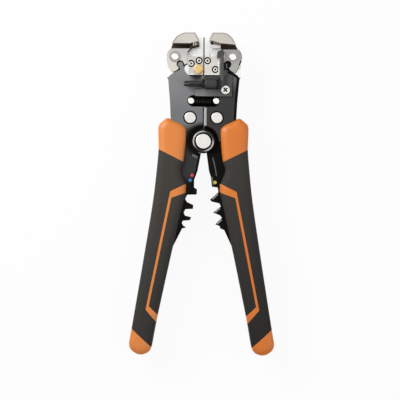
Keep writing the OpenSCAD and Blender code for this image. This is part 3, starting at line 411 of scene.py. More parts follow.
# Painted shade on the brass stud: darker towards its lower right, away from the key lamp
STUD_MIDDLE = 0.7 * (at(STUD_AT[0], 0).x - at(0, STUD_AT[1]).y)
brass = metal("brass", (0.75, 0.53, 0.24), 0.36, EVEN, 0.12, 0.06,
    runs=[((0.5, 0.3, 0.1), (0.7, -0.7, 0), STUD_MIDDLE + 0.0018, STUD_MIDDLE + 0.0034)])

# Grips and the paint of the size marks
# Painted light: the left grip's orange is paler, as lit by the key lamp, and runs into a deeper orange on the right
# grip
orange = coated("orange_shell", (0.74, 0.225, 0.035), 0.42, 0.6, 2200.0, Roughness_change=0.1, bump=0.12,
    runs=[((0.7, 0.17, 0.008), ACROSS, -0.02, 0.03)])
# Painted shade: the black skin runs darker towards the lower right, away from the key lamp
skin = coated("soft_black_skin", (0.05, 0.045, 0.039), 0.62, 0.16, 1600.0, 0.18, Roughness_change=0.1, bump=0.35,
    lift=0.00006, Cloud_scale=110.0, runs=[((0.019, 0.0175, 0.016), (0.7, -0.7, 0), -0.02, 0.09)])
red_paint, blue_paint, yellow_paint = (
    material(word + "_paint", colour, 0.25, specular=0.6, coat=0.5)
    for word, colour in (("red", (0.6, 0.012, 0.03)), ("blue", (0.015, 0.15, 0.42)), ("yellow", (0.62, 0.55, 0.02))))

# Painted shade as dark sheets and lines, painted highlights as light strips on edges and facets, and a paler sheet for
# the right jaw's step
shade_film = coated("painted_shade_black", (0.004, 0.0035, 0.003), 0.6, 0.06, 1500.0, 0.3)
edge_shade_line = coated("edge_shade_line", (0.11, 0.085, 0.07), 0.5, 0.2, 1500.0, 0.3)
step_shade_brown = coated("step_shade_brown", (0.25, 0.205, 0.17), 0.5, 0.2, 1500.0, 0.25)
pale_step = coated("pale_step", (0.78, 0.77, 0.74), 0.45, 0.2, 1500.0)
edge_highlight_grey = coated("edge_highlight_grey", (0.13, 0.128, 0.126), 0.4, 0.4, 1800.0, 0.2)
stop_shine = coated("stop_shine", (0.085, 0.083, 0.082), 0.4, 0.4, 1800.0, 0.2)
facet_highlight_grey = coated("facet_highlight_grey", (0.3, 0.3, 0.29), 0.45, 0.3, 1500.0, 0.3)
seam_highlight_metal = metal("seam_highlight_metal", (0.4, 0.4, 0.4), 0.4, (900.0, 100.0, 900.0), 0.08)
chamfer_highlight_metal = metal("chamfer_highlight_metal", (0.93, 0.9, 0.84), 0.3, (120.0, 900.0, 900.0), 0.05)

# Finish and edge rounding, in millimetres, of each CAD node that stays
FINISHES = {
    left_plate: (0.3, ["left_lever_front"]),
    right_plate: (0.3, ["right_head_plate_front"]),
    rear_coat: (0.3, ["left_lever_rear", "right_head_plate_rear"]),
    die_black: (0.25, ["left_crimp_die"]),
    core_black: (0.25, ["right_lever_core"]),
    stop_black: (0.3, ["stop_arm"]),
    insert_shade_brown: (0.1, ["left_grip_insert", "right_guide_insert"]),
    bracket_coat: (0.2, ["adjuster_bracket"]),
    jaw_left: (0.35, ["left_upper_jaw"]),
    jaw_right: (0.35, ["right_upper_jaw"]),
    lower_jaw: (0.3, ["left_lower_jaw", "right_lower_jaw"]),
    clamp_nickel: (0.25, ["left_clamp_plate", "right_clamp_plate"]),
    frame_bright: (0.2, ["left_frame_front", "left_frame_rear", "right_frame_front", "right_frame_rear"]),
    plated: (0.15, ["left_lever_rivet", "right_lever_rivet", "pivot_pin"]),
    pin_plating: (0.15, ["left_jaw_pin", "right_jaw_pin", "left_spring_post", "right_spring_post"]),
    screw_plating: (0.12, ["left_clamp_screws", "right_clamp_screws"]),
    cross_plating: (0.12, ["bracket_screw"]),
    blade: (0.1, ["upper_blade", "lower_blade"]),
    washer_steel: (0.2, ["pivot_washer_front", "pivot_washer_rear"]),
    spring_wire: (0, ["return_spring"]),
    brass: (0.2, ["brass_stud"]),
    red_paint: (0.04, ["red_size_mark"]),
    blue_paint: (0.04, ["blue_size_mark"]),
    yellow_paint: (0.04, ["yellow_size_mark"]),
}


def round_edges(obj, width_mm):
    """Merges the facets of flat faces and rounds the sharp edges, as a modifier stack that leaves the mesh alone."""
    weld = obj.modifiers.new("weld", "WELD")
    weld.merge_threshold = 0.005 * MM
    flat = obj.modifiers.new("flat_faces", "DECIMATE")
    flat.decimate_type = "DISSOLVE"
    flat.angle_limit = math.radians(1.5)
    bevel = obj.modifiers.new("rounded_edges", "BEVEL")
    bevel.width = width_mm * MM
    bevel.segments = 2
    bevel.limit_method = "ANGLE"
    bevel.angle_limit = math.radians(38)
    bevel.use_clamp_overlap = True
    weights = obj.modifiers.new("even_shading", "WEIGHTED_NORMAL")
    weights.keep_sharp = False


for mat, (width, names) in FINISHES.items():
    for name in names:
        nodes[name].data.materials.clear()
        nodes[name].data.materials.append(mat)
        if width:
            round_edges(nodes[name], width)

# ---- Mesh tools


def mesh_piece(name, vertices, faces, mat, body, replaces=(), smooth=True):
    """A piece from vertices in metres and its faces, which rides on a body."""
    mesh = bpy.data.meshes.new(name)
    mesh.from_pydata([tuple(v) for v in vertices], [], faces)
    tidy = bmesh.new()
    tidy.from_mesh(mesh)
    bmesh.ops.remove_doubles(tidy, verts=tidy.verts, dist=0.000001)
    bmesh.ops.recalc_face_normals(tidy, faces=tidy.faces)
    tidy.to_mesh(mesh)
    tidy.free()
    mesh.validate()
    mesh.materials.append(mat)
    for face in mesh.polygons:
        face.use_smooth = smooth
    obj = bpy.data.objects.new(name, mesh)
    scene.collection.objects.link(obj)
    if body:
        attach(obj, body)
        if replaces:
            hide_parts(*replaces)
    return obj


def prism(name, outline, z0, z1, mat=None, body=None):
    """A straight prism over an outline in metres."""
    n = len(outline)
    vertices = [(x, y, z) for z in (z0, z1) for x, y in outline]
    walls = [(i, (i + 1) % n, n + (i + 1) % n, n + i) for i in range(n)]
    ends = [tuple(range(n)), tuple(range(n, 2 * n))]
    return mesh_piece(name, vertices, ends + walls, mat or skin, body, smooth=False)


def film(name, outline, z0, z1, mat=None, body=None):
    """A thin sheet over an outline, all in millimetres from the main pivot."""
    return prism(name, [tuple(at(x, y).xy) for x, y in outline], at(0, 0, z0).z, at(0, 0, z1).z, mat, body)


def cut(obj, tool, operation):
    """The mesh of obj after a boolean with tool."""
    mod = obj.modifiers.new("cut", "BOOLEAN")
    mod.operation, mod.solver, mod.object = operation, "EXACT", tool
    mesh = bpy.data.meshes.new_from_object(obj.evaluated_get(bpy.context.evaluated_depsgraph_get()))
    obj.modifiers.remove(mod)
    return mesh


# ---- Grips: a crowned body over the outline, parted into the orange shell and the black skin

GRIP_END = (38.1, 127.0)
GRIP_OUTLINE = ((0.281, 0.04), (0.286, 0.062), (0.342, 0.08), (0.54, 0.108), (0.59, 0.116), (0.625, 0.113),
    (0.735, 0.085), (0.753, 0.068), (0.753, 0.04), (0.743, -0.04), (0.755, -0.09), (0.807, -0.25),
    (0.86, -0.365), (0.998, -0.626), (1.168, -0.9375), (1.212, -1.01), (1.205, -1.03), (1.17, -1.048),
    (1.083, -1.066), (0.992, -1.07), (0.9, -1.06), (0.85, -1.045), (0.833, -1.0295), (0.76, -0.904),
    (0.495, -0.527), (0.283, -0.257), (0.278, -0.217), (0.313, -0.195), (0.363, -0.16), (0.37, -0.135),
    (0.326, -0.101), (0.299, -0.025))
PARTING_MM, PARTING_ANGLE = 0.28, 50
# The stripe lies a little nearer the middle on the left grip and a little farther out on the right one
STRIPE_SHIFT = {-1: -0.009, 1: 0.008}
ORANGE_ZONES = (((0, 0.2), (1, 0.2), (1, -0.168), (0.74, -0.042), (0.326, -0.104), (0, -0.27)),
    ((0.2, -0.2), (0.552, -0.252), (0.944, -0.842), (0.777, -0.9015), (0.6, -0.95),
     (0.6, -0.92), (0.737, -0.87), (0.893, -0.825), (0.531, -0.283), (0.283, -0.2565), (0.2, -0.245)),
    ((1.5, -0.87), (1.17, -0.9375), (0.842, -1.0285), (0.6, -1.1), (1.5, -1.2)))
# Half the grip's thickness in its middle and at its side walls, and how far the crown reaches in, in millimetres
GRIP_HALF = 10.0
GRIP_WALL = 6.5
GRIP_CROWN = 5.0
GRIP_CORNER = 2.4
EDGE_STEP = 0.9
EDGE_INSETS = (0.0, 0.18, 0.55, 1.1)
FACE_STEP = 1.5
FACE_INSET = 1.9


def softened(points, radius, soft_turn=24, steps=5):
    """The closed outline with its corners rounded: gentle bends over their whole length, sharp ones by radius."""
    out = []
    for i, point in enumerate(points):
        p0, p, p1 = Vector(points[i - 1]), Vector(point), Vector(points[(i + 1) % len(points)])
        a, b = p0 - p, p1 - p
        turn = math.pi - a.angle(b)
        most = 0.47 * min(a.length, b.length)
        reach = most if turn < math.radians(soft_turn) else min(radius * math.tan(turn / 2), most)
        start, end = p + a.normalized() * reach, p + b.normalized() * reach
        for k in range(steps + 1):
            u = k / steps
            out.append(start * (1 - u) ** 2 + p * 2 * u * (1 - u) + end * u * u)
    return out


def evenly(points, step):
    """The closed outline as points an even step apart."""
    ends = points[1:] + points[:1]
    lengths = [(b - a).length for a, b in zip(points, ends)]
    count = max(8, round(sum(lengths) / step))
    spacing, out, i, passed = sum(lengths) / count, [], 0, 0.0
    for k in range(count):
        goal = k * spacing
        while passed + lengths[i] < goal:
            passed += lengths[i]
            i += 1
        out.append(points[i].lerp(ends[i], (goal - passed) / max(lengths[i], 1e-9)))
    return out


def inset(points, distance):
    """Each point of a counter-clockwise outline moved inwards."""
    out = []
    for i, p in enumerate(points):
        along = (points[(i + 1) % len(points)] - points[i - 1]).normalized()
        out.append(p + Vector((-along.y, along.x)) * distance)
    return out


def border_distance(spots, outline):
    """How far each spot is from the closed outline."""
    a = np.array([tuple(p) for p in outline])
    b = np.roll(a, -1, axis=0)
    s = np.array(spots)[:, None, :]
    ab = b - a
    t = np.clip(((s - a) * ab).sum(-1) / (ab * ab).sum(-1), 0, 1)
    return np.sqrt((((a + t[..., None] * ab) - s) ** 2).sum(-1).min(1))


def crown(distance):
    """Half the grip's thickness at a distance from its outline, in millimetres."""
    t = 1 - min(distance, GRIP_CROWN) / GRIP_CROWN
    return GRIP_WALL + (GRIP_HALF - GRIP_WALL) * math.sqrt(1 - t * t)


def grip_body(name):
    """The right grip's whole form, with flat sides and a crowned front and rear."""
    corners = [(x * GRIP_END[0], y * GRIP_END[1]) for x, y in GRIP_OUTLINE]
    outline = evenly(softened(corners, GRIP_CORNER), EDGE_STEP)
    area = sum(a.x * b.y - b.x * a.y for a, b in zip(outline, outline[1:] + outline[:1]))
    if area < 0:
        outline.reverse()
    rings = [inset(outline, d) for d in EDGE_INSETS]
    n = len(outline)
    inner = rings[-1]
    xs, ys = [p.x for p in outline], [p.y for p in outline]
    grid = [(x, y) for x in np.arange(min(xs), max(xs), FACE_STEP) for y in np.arange(min(ys), max(ys), FACE_STEP)]
    far = border_distance(grid, outline)
    inside = [p for p, d in zip(grid, far) if d > FACE_INSET]
    spots, _, triangles, *_ = delaunay_2d_cdt([Vector(p) for p in inner] + [Vector(p) for p in inside],
        [], [list(range(n))], 1, 0.0001)
    depths = border_distance([tuple(p) for p in spots], outline)
    vertices, faces = [], []
    for side in (1, -1):
        base = len(vertices)
        for ring, d in zip(rings[:-1], EDGE_INSETS):
            vertices += [(p.x, p.y, side * crown(d)) for p in ring]
        for k in range(len(rings) - 2):
            for i in range(n):
                j = (i + 1) % n
                faces.append((base + k * n + i, base + k * n + j, base + (k + 1) * n + j, base + (k + 1) * n + i))
        first = len(vertices)
        vertices += [(p.x, p.y, side * crown(d)) for p, d in zip(spots, depths)]
        last = base + (len(rings) - 2) * n
        for i in range(n):
            j = (i + 1) % n
            faces.append((last + i, last + j, first + j, first + i))
        faces += [tuple(first + i for i in t) for t in triangles]
        if side == 1:
            front_wall = base
        else:
            faces += [(front_wall + i, front_wall + (i + 1) % n, base + (i + 1) % n, base + i) for i in range(n)]
    return mesh_piece(name, [at(*v) for v in vertices], faces, skin, None)


def zone_block(name, zone, shift):
    """A block over a zone in shares of the grip's reach, thick enough to cut through the whole grip."""
    return prism(name, [tuple(at((x + shift) * GRIP_END[0], y * GRIP_END[1]).xy) for x, y in zone], -0.01, 0.03)


def part_grip(side):
    """Shell and skin of one grip, side -1 for the left one."""
    word = "left" if side < 0 else "right"
    body = grip_body(word + "_whole_grip")
    zones = zone_block(word + "_zones", ORANGE_ZONES[0], 0.0)
    for zone, shift in zip(ORANGE_ZONES[1:], (STRIPE_SHIFT[side], 0.0)):
        more = zone_block("more", zone, shift)
        zones.data = cut(zones, more, "UNION")
        bpy.data.objects.remove(more)
    for operation, mat, kind, slot, replaced in (("INTERSECT", orange, "shell", "orange_plastic", "orange"),
                                                 ("DIFFERENCE", skin, "skin", "black_rubber", "black")):
        mesh = cut(body, zones, operation)
        if side < 0:
            for v in mesh.vertices:
                v.co.x = 2 * PIVOT.x - v.co.x
            mesh.flip_normals()
        mesh.materials.clear()
        mesh.materials.append(mat)
        for face in mesh.polygons:
            face.use_smooth = True
            face.material_index = 0
        obj = bpy.data.objects.new(f"{word}_grip_{kind}", mesh)
        scene.collection.objects.link(obj)
        bevel = obj.modifiers.new("parting_line", "BEVEL")
        bevel.width = PARTING_MM * MM
        bevel.segments = 2
        bevel.limit_method = "ANGLE"
        bevel.angle_limit = math.radians(PARTING_ANGLE)
        obj.modifiers.new("even_shading", "WEIGHTED_NORMAL").keep_sharp = False
        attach(obj, word + "_handle")
        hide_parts(f"{word}_grip_{replaced}")
    bpy.data.objects.remove(body)
    bpy.data.objects.remove(zones)


for side in (-1, 1):
    part_grip(side)

# ---- Tension spring between the frames: one coil with a hook at each post

SPRING_Y = 25.6256
SPRING_WIRE = 0.7
SPRING_R = 2.9
POST_X = 7.9968
HOOK_R = 1.75
CURLS = 9
CURL_STEPS = 28
COIL_HALF = POST_X - HOOK_R - SPRING_WIRE * 1.5


def tube_faces(rings, sides):
    """Walls between rings of vertices that follow each other, and a cap on each end."""
    faces = []
    for i in range(1, rings):
        for k in range(sides):
            j = (k + 1) % sides
            faces.append(((i - 1) * sides + k, (i - 1) * sides + j, i * sides + j, i * sides + k))
    last = (rings - 1) * sides
    return faces + [tuple(range(sides)), tuple(range(last, last + sides))]


def tube(route, radius, sides=10):
    """Vertices and faces of a round tube along the points."""
    points = [Vector(p) for p in route]
    normal = Vector((0, 0, 1))
    vertices = []
    for i, p in enumerate(points):
        along = (points[min(i + 1, len(points) - 1)] - points[max(i - 1, 0)]).normalized()
        normal = (normal - along * normal.dot(along)).normalized()
        other = along.cross(normal)
        for k in range(sides):
            a = 2 * math.pi * k / sides
            vertices.append(p + (normal * math.cos(a) + other * math.sin(a)) * radius)
    return vertices, tube_faces(len(points), sides)


def spring_route():
    """The wire's middle line: from hook to hook through one coil, with a lead that narrows into each hook."""
    pitch = 2 * COIL_HALF / CURLS
    rest = POST_X - COIL_HALF - pitch / 2

    def lead(t):
        a, r = math.pi * t, SPRING_R * (1 - t) + HOOK_R * t
        return (COIL_HALF + pitch * t / 2 + rest * t ** 3, r * math.cos(a), r * math.sin(a) * (1 - t))

    right = [lead(i / 16) for i in range(1, 17)]
    hook = [math.radians(a) for a in range(-80, 141, 10)]
    right += [(POST_X + HOOK_R * math.cos(a), HOOK_R * math.sin(a), 0) for a in hook]
    left = [(-x, y, -z) for x, y, z in reversed(right)]
    coil = [(-COIL_HALF + pitch * i / CURL_STEPS, SPRING_R * math.cos(math.tau * i / CURL_STEPS),
             SPRING_R * math.sin(math.tau * i / CURL_STEPS)) for i in range(CURLS * CURL_STEPS + 1)]
    return [at(x, SPRING_Y + y, z) for x, y, z in left + coil + right]


vertices, faces = tube(spring_route(), SPRING_WIRE / 2 * MM)
spring = mesh_piece("tension_spring", vertices, faces, spring_wire, None)
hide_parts("frame_spring")
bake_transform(spring)

# ---- Length stop: threaded rod and knurled knob

ROD_Y, ROD_Z = 36.2076, 10.8
ROD_R, ROD_PITCH = 2.05, 0.7
THREAD_DEPTH, LEAD_IN, LEAD_IN_DEPTH = 0.34, 2.2, 0.4
ROD_X = (-12.614, 9.4012)
KNOB_X = (0.0, 8.9012)
KNOB_R = 2.8
KNURLS, KNURL_DEPTH = 30, 0.11
ARM_X = 10.3292


def turned(name, profile, sides, mat, body, replaces, shape=lambda x, a, r: r):
    """A bar turned about the stop's axis: profile lists (x, radius), and shape may vary the radius with the angle."""
    vertices = []
    for x, r in profile:
        for k in range(sides):
            a = math.tau * k / sides
            q = shape(x, a, r)
            vertices.append(at(x, ROD_Y + q * math.cos(a), ROD_Z + q * math.sin(a)))
    return mesh_piece(name, vertices, tube_faces(len(profile), sides), mat, body, replaces)


def thread(x, a, r):
    """The radius on a right-hand thread that starts with a taper; the plain ends keep theirs."""
    if r < ROD_R - 0.01:
        return r
    phase = (x / ROD_PITCH - a / math.tau) % 1.0
    lead_in = max(0.0, 1 - (x - ROD_X[0]) / LEAD_IN)
    return r - THREAD_DEPTH * abs(2 * phase - 1) - LEAD_IN_DEPTH * lead_in


steps = int((ROD_X[1] - ROD_X[0]) / (ROD_PITCH / 8))
rod_profile = [(ROD_X[0], 1.15), (ROD_X[0] + 0.3, 1.4)]
rod_profile += [(ROD_X[0] + 0.4 + (ROD_X[1] - ROD_X[0] - 0.4) * i / steps, ROD_R) for i in range(steps + 1)]
rod_profile += [(ROD_X[1] + 0.01, 0.9), (ARM_X + 2.5, 0.9), (ARM_X + 2.7, 0.7)]
rod = turned("threaded_rod", rod_profile, 32, rod_black, "length_stop", ["adjuster_rod"], thread)
SLOT_HALF, SLOT_END = 0.3, ROD_X[0] + 3.6
slot_tool = film("slot_tool", ((-13, ROD_Y - SLOT_HALF), (SLOT_END, ROD_Y - SLOT_HALF), (SLOT_END, ROD_Y + SLOT_HALF),
                               (-13, ROD_Y + SLOT_HALF)), ROD_Z - 3, ROD_Z + 3)
rod.data = cut(rod, slot_tool, "DIFFERENCE")
bpy.data.objects.remove(slot_tool)


def knurl(x, a, r):
    """The radius over the knob's straight ridges; the rims stay round."""
    return r - (KNURL_DEPTH * (0.5 + 0.5 * math.cos(KNURLS * a)) if r > KNOB_R - 0.3 else 0)


knob_profile = [(KNOB_X[0], KNOB_R - 0.6), (KNOB_X[0] + 0.12, KNOB_R - 0.45), (KNOB_X[0] + 0.56, KNOB_R - 0.05)]
knob_profile += [(KNOB_X[0] + 0.56 + (KNOB_X[1] - KNOB_X[0] - 1.12) * i / 6, KNOB_R) for i in range(7)]
knob_profile += [(KNOB_X[1] - 0.56, KNOB_R - 0.05), (KNOB_X[1] - 0.12, KNOB_R - 0.45), (KNOB_X[1], KNOB_R - 0.6)]
turned("knurled_knob", knob_profile, 180, knob_black, "stop_knob", ["adjuster_knob"], knurl)

# ---- Seam, gaps and edges: sheets of painted shade between the plates and in the gaps, painted highlights on their edges

# Surfaces of the CAD that they lie on, in millimetres in front of the tool's middle plane
FRAME_TOP = 4.8
STEP_TOP = 5.0
EYE_TOP = 6.32
HEAD_TOP = 7.4
RIDGE_TOP = 8.9
CAP_TOP = 9.5
ARM_TOP = 11.9
# Films stand this far off a frame's face
CLEAR = 0.04


def ribbon(name, route, width, z, mat, body, rise=0.05):
    """A low strip of painted highlight or painted shade along a route in millimetres from the main pivot, crowned by
    rise, at height z.
    """
    route = [Vector(p) for p in route]
    vertices, faces = [], []
    for i, p in enumerate(route):
        along = (route[min(i + 1, len(route) - 1)] - route[max(i - 1, 0)]).normalized()
        across = Vector((-along.y, along.x)) * width / 2
        for share, up in ((-1, 0), (-0.6, 0.8), (0, 1), (0.6, 0.8), (1, 0)):
            q = p + across * share
            vertices.append(at(q.x, q.y, z + rise * up))
        if i:
            for k in range(4):
                faces.append(((i - 1) * 5 + k, (i - 1) * 5 + k + 1, i * 5 + k + 1, i * 5 + k))
    return mesh_piece(name, vertices, faces, mat, body)


def beside(route, distance):
    """The route moved to its right."""
    route = [Vector(p) for p in route]
    moved = []
    for i, p in enumerate(route):
        along = (route[min(i + 1, len(route) - 1)] - route[max(i - 1, 0)]).normalized()
        moved.append(p + Vector((along.y, -along.x)) * distance)
    return moved


# The middle seam's painted shade, black sheets in the gap between the frames, stays on the left frame
for name, y0, y1, z0, z1 in (("low", 6.3, 21.7, -4.6, 2.9), ("spring", 21.8, 29.3, -4.7, -3.45),
                             ("window", 29.4, 41.3, -4.6, 4.6), ("middle", 41.6, 55.5, -4.6, 4.4),
                             ("top", 55.9, 67.0, -4.7, -3.5)):
    film("seam_shade_sheet_" + name, ((-0.38, y0), (0.26, y0), (0.3, y0 + 0.4), (0.3, y1), (-0.38, y1)), z0, z1, shade_film,
         "left_frame")
# Painted highlight on the right plate's bevel at the seam, lit from the left
ribbon("seam_edge_highlight", ((1.2, 9.9), (1.2, 12), (1.2, 16), (1.2, 20), (1.2, 21.4)), 1.4, HEAD_TOP, seam_highlight_metal,
       "right_handle", 0.09)

# Head plates and cheeks
# Painted shade along the right plate's outer edge, its bevel and side wall turned from the key lamp
plate_edge = ((15.4, 45.1), (17.95, 43.99), (19.99, 42.8), (21.56, 41.7), (22.45, 40.6), (22.7, 40.04), (21.94, 32.4),
              (21.3, 24.1), (20.9, 14.8), (20.75, 8.0))
ribbon("right_plate_edge_shade", beside(plate_edge, 0.95), 1.6, HEAD_TOP, shade_film, "right_handle", 0.03)
# Painted shade: black sheets on the frames under the gaps round the knobs
GAP_FOOT = ((14.6, 44.8), (14.6, 46.2), (16.9, 45.9), (19.3, 44.5), (19.4, 43.6), (17.9, 43.3))
for word, side in (("left", -1), ("right", 1)):
    film(word + "_gap_shade_sheet", [(side * x, y) for x, y in GAP_FOOT], FRAME_TOP + CLEAR, 4.96, shade_film,
         word + "_frame")
# Painted shadow of the left cheek's edge on the frame
ribbon("left_cheek_edge_shadow", ((-13.3, 47.4), (-12.9, 48.0), (-11.8, 48.6), (-10.5, 49.3)), 0.8, FRAME_TOP + CLEAR,
       shade_film, "left_frame", 0.04)
# Painted shadow along the right cheek's outer edge, a black strip that runs into a thin brown line
ribbon("right_cheek_edge_shadow", ((23.3, 51.3), (22.9, 49.8), (22.4, 48.5)), 0.75, HEAD_TOP, shade_film, "right_jaw",
       0.03)
ribbon("right_cheek_edge_shadow_end", ((22.4, 48.6), (21.7, 46.5), (20.9, 44.9), (19.9, 43.7)), 0.35, HEAD_TOP, edge_shade_line,
       "right_jaw", 0.03)
film("knob_cradle", ((0.0, 38.3), (9.3, 38.3), (9.35, 40.5), (9.1, 41.0), (8.5, 41.35), (0.0, 41.35)), 8.62, 10.3,
     cradle_black, "right_handle")

# Clamp plates and stop arm
# Painted shadow on the frames under each clamp plate, and painted highlights on the clamps' lower and right chamfers
for word, start, end, route in (("left", -9.6, -0.45, ((-9.5, 42.45), (-6.6, 42.45))),
                                ("right", 0.35, 9.9, ((0.5, 42.45), (4, 42.45), (9.6, 42.45)))):
    film(word + "_clamp_shadow_oil", ((start, 41.0), (end, 41.0), (end, 42.15), (start, 42.15)), FRAME_TOP + CLEAR,
         4.95, shade_film, word + "_frame")
    ribbon(word + "_clamp_bright_edge", route, 0.7, HEAD_TOP, chamfer_highlight_metal, word + "_frame", 0.05)
ribbon("right_clamp_side_highlight", ((9.45, 42.8), (9.45, 47), (9.45, 51.5)), 0.6, HEAD_TOP, chamfer_highlight_metal, "right_frame",
       0.05)
# Painted highlight on the right knob post
ribbon("right_knob_highlight", ((14.2, 49.3), (14.35, 47.9), (14.55, 46.6)), 0.55, HEAD_TOP, facet_highlight_grey, "right_handle",
       0.05)
ribbon("stop_arm_highlight", ((11.2, 38.5), (11.2, 44), (11.2, 50), (11.1, 54.5)), 0.8, ARM_TOP, stop_shine,
       "length_stop", 0.04)

# Jaws: painted shade as dark lines round the caps and between the ridges and as dark sheets by the pads under the caps,
# and a paler sheet on the lower face of the right jaw's step
CAPS = (("left", ((-5.9, 68.45), (-12.8, 68.25), (-15.3, 67.2), (-17.2, 65.9), (-18.6, 64.2), (-19.5, 62.7))),
        ("left", ((-6.3, 68.4), (-5.4, 67.3), (-4.0, 64.6), (-3.5, 63.3))),
        ("right", ((5.6, 68.45), (12.3, 68.45), (15.0, 67.5), (17.3, 65.4), (19.2, 62.4))),
        ("right", ((5.7, 68.4), (4.7, 66.6), (3.9, 64.7))))
# Painted shade: dark lines where the caps' chamfered edges turn from the light
for i, (word, route) in enumerate(CAPS):
    ribbon(f"{word}_cap_edge_shade_{i + 1}", route, 0.32, CAP_TOP, edge_shade_line, word + "_jaw", 0.02)
# Painted shade in the gaps between the left jaw's ridges
RIDGES = (((-5.25, 62.9), (-5.1, 61.2)), ((-4.45, 62.9), (-4.15, 61.2)), ((-3.65, 62.5), (-3.35, 61.3)))
for i, route in enumerate(RIDGES):
    ribbon(f"left_jaw_ridge_gap_shade_{i + 1}", route, 0.42, RIDGE_TOP, shade_film, "left_jaw", 0.03)
# Painted shadow at the left cheek's upper edge, by the pad
film("left_pad_gap_shadow", ((-8.3, 59.6), (-10.5, 57.0), (-10.1, 56.5), (-7.7, 59.2)), 3.4, STEP_TOP, shade_film,
     "left_jaw")
# On the right jaw's step: a paler sheet on its lower face, painted shade under the cap above it, and painted shade by
# the blade's end
STEP_LINE = ((4.8, 61.5), (6.9, 61.55), (8.9, 61.1), (10.35, 60.85))
film("right_jaw_pale_face", STEP_LINE + ((10.35, 59.3), (4.8, 59.6)), STEP_TOP, 5.06, pale_step, "right_jaw")
film("right_jaw_step_shade", STEP_LINE + ((10.35, 63.0), (4.8, 64.0)), STEP_TOP, 5.08, step_shade_brown, "right_jaw")
film("right_blade_gap_shade", ((3.75, 63.6), (4.5, 63.3), (5.9, 62.7), (5.9, 61.9), (4.9, 61.6), (4.1, 62.2)), 5.05, 5.3,
     shade_film, "right_jaw")

# Pivot: a ring of painted shade round the washer, in two halves, and more at the foot of the seam
for word, start in (("upper", 0), ("lower", math.pi)):
    turns = [start + math.pi * k / 32 for k in range(33)]
    outer, inner = ([(r * math.cos(a), r * math.sin(a)) for a in turns] for r in (7.7, 6.86))
    film(word + "_pivot_washer_shade", outer + inner[::-1], EYE_TOP + CLEAR, 6.9, shade_film, "left_frame")
film("seam_foot_shade", ((0.35, 7.3), (1.3, 7.3), (1.3, 9.9), (0.35, 9.9)), FRAME_TOP + CLEAR, 4.95, shade_film,
     "right_frame")

# Levers and dies: painted highlights on the edges and facets that catch the light
ribbon("right_lever_edge_highlight", ((6.1, -10.2), (7.0, -13.5), (8.0, -18.0), (8.6, -22.0)), 0.55, FRAME_TOP, edge_highlight_grey,
       "right_handle", 0.06)
ribbon("left_lever_facet_highlight", ((-7.0, -8.7), (-5.4, -9.4), (-3.7, -10.4)), 1.2, EYE_TOP, edge_highlight_grey, "left_handle",
       0.06)
# Painted highlights on the facets of the right die's teeth
DIE_EDGES = (((9.6, -33.3), (6.2, -36.7)), ((11.0, -42.5), (7.9, -45.1)), ((12.0, -49.7), (9.3, -52.4)))
for i, (start, end) in enumerate(DIE_EDGES):
    route = [Vector(start).lerp(Vector(end), t / 4) for t in range(5)]
    ribbon(f"right_die_facet_highlight_{i + 1}", route, 0.9, FRAME_TOP, facet_highlight_grey, "right_handle", 0.08)
ribbon("right_core_edge_highlight", ((5.7, -22.6), (6.1, -25.0), (6.7, -27.6)), 0.8, FRAME_TOP, edge_highlight_grey, "right_handle",
       0.05)

# ---- Floor, world and lamps: white to the camera and in reflections, a plain even light for the rest

FLOOR_HALF, FLOOR_Z = 2, -0.0003
FLOOR_GREY = 0.86
FLOOR_GLOW = 0.93
WORLD_LIGHT = 0.5


def seen_directly(tree, rays):
    """1 for the camera's rays and for those that mirrors and clear things send on."""
    sent_on = math_node(tree, "MAXIMUM", rays.outputs["Is Glossy Ray"], rays.outputs["Is Transmission Ray"])
    return math_node(tree, "MAXIMUM", rays.outputs["Is Camera Ray"], sent_on)


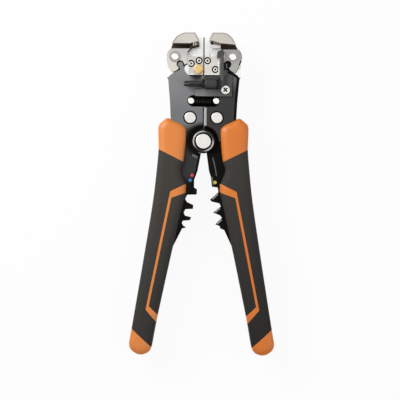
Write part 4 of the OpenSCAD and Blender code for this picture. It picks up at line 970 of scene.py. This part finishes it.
floor_mesh = bpy.data.meshes.new("floor")
floor_mesh.from_pydata([(x * FLOOR_HALF, y * FLOOR_HALF, FLOOR_Z) for x, y in ((-1, -1), (1, -1), (1, 1), (-1, 1))],
                       [], [(0, 1, 2, 3)])
floor = bpy.data.objects.new("floor", floor_mesh)
scene.collection.objects.link(floor)
pale = bpy.data.materials.new("pale_floor")
pale.use_nodes = True
tree = pale.node_tree
shader = tree.nodes["Principled BSDF"]
shader.inputs["Base Color"].default_value = (FLOOR_GREY, FLOOR_GREY, FLOOR_GREY, 1)
shader.inputs["Roughness"].default_value = 0.8
rays = tree.nodes.new("ShaderNodeLightPath")
seen = seen_directly(tree, rays)
glow = place(tree, "Emission", Color=(1, 1, 1, 1), Strength=1.0)
mix = tree.nodes.new("ShaderNodeMixShader")
tree.links.new(math_node(tree, "MULTIPLY", seen, FLOOR_GLOW), mix.inputs[0])
tree.links.new(shader.outputs[0], mix.inputs[1])
tree.links.new(glow.outputs[0], mix.inputs[2])
tree.links.new(mix.outputs[0], tree.nodes["Material Output"].inputs["Surface"])
floor_mesh.materials.append(pale)

world = bpy.data.worlds.new("studio")
scene.world = world
world.use_nodes = True
tree = world.node_tree
soft = tree.nodes["Background"]
soft.inputs["Color"].default_value = (1, 1, 1, 1)
soft.inputs["Strength"].default_value = WORLD_LIGHT
rays = tree.nodes.new("ShaderNodeLightPath")
seen = seen_directly(tree, rays)
# The studio's walls are darker than its white ceiling where metal mirrors them
high = place(tree, "SeparateXYZ", [("Vector", tree.nodes.new("ShaderNodeTexCoord").outputs["Generated"])]).outputs["Z"]
walls = place(tree, "MapRange", [("Value", high)],
              **{"From Min": 0.25, "From Max": 0.8, "To Min": 0.12, "To Max": 1.0}).outputs[0]
bright = math_node(tree, "MAXIMUM", rays.outputs["Is Camera Ray"], walls)
white = place(tree, "Background", [("Strength", bright)], Color=(1, 1, 1, 1))
mix = tree.nodes.new("ShaderNodeMixShader")
tree.links.new(seen, mix.inputs[0])
tree.links.new(soft.outputs[0], mix.inputs[1])
tree.links.new(white.outputs[0], mix.inputs[2])
tree.links.new(mix.outputs[0], tree.nodes["World Output"].inputs["Surface"])


def lamp(name, place_mm, aim_mm, size, power):
    data = bpy.data.lights.new(name, "AREA")
    data.shape = "SQUARE"
    data.size = size
    data.energy = power
    obj = bpy.data.objects.new(name, data)
    scene.collection.objects.link(obj)
    obj.location = at(*place_mm)
    obj.rotation_euler = (at(*aim_mm) - obj.location).to_track_quat("-Z", "Y").to_euler()


lamp("key_softbox", (-380, 260, 330), (0, -10, 0), 0.3, 2.3)
lamp("fill_softbox", (450, -120, 330), (0, -30, 0), 0.45, 0.6)
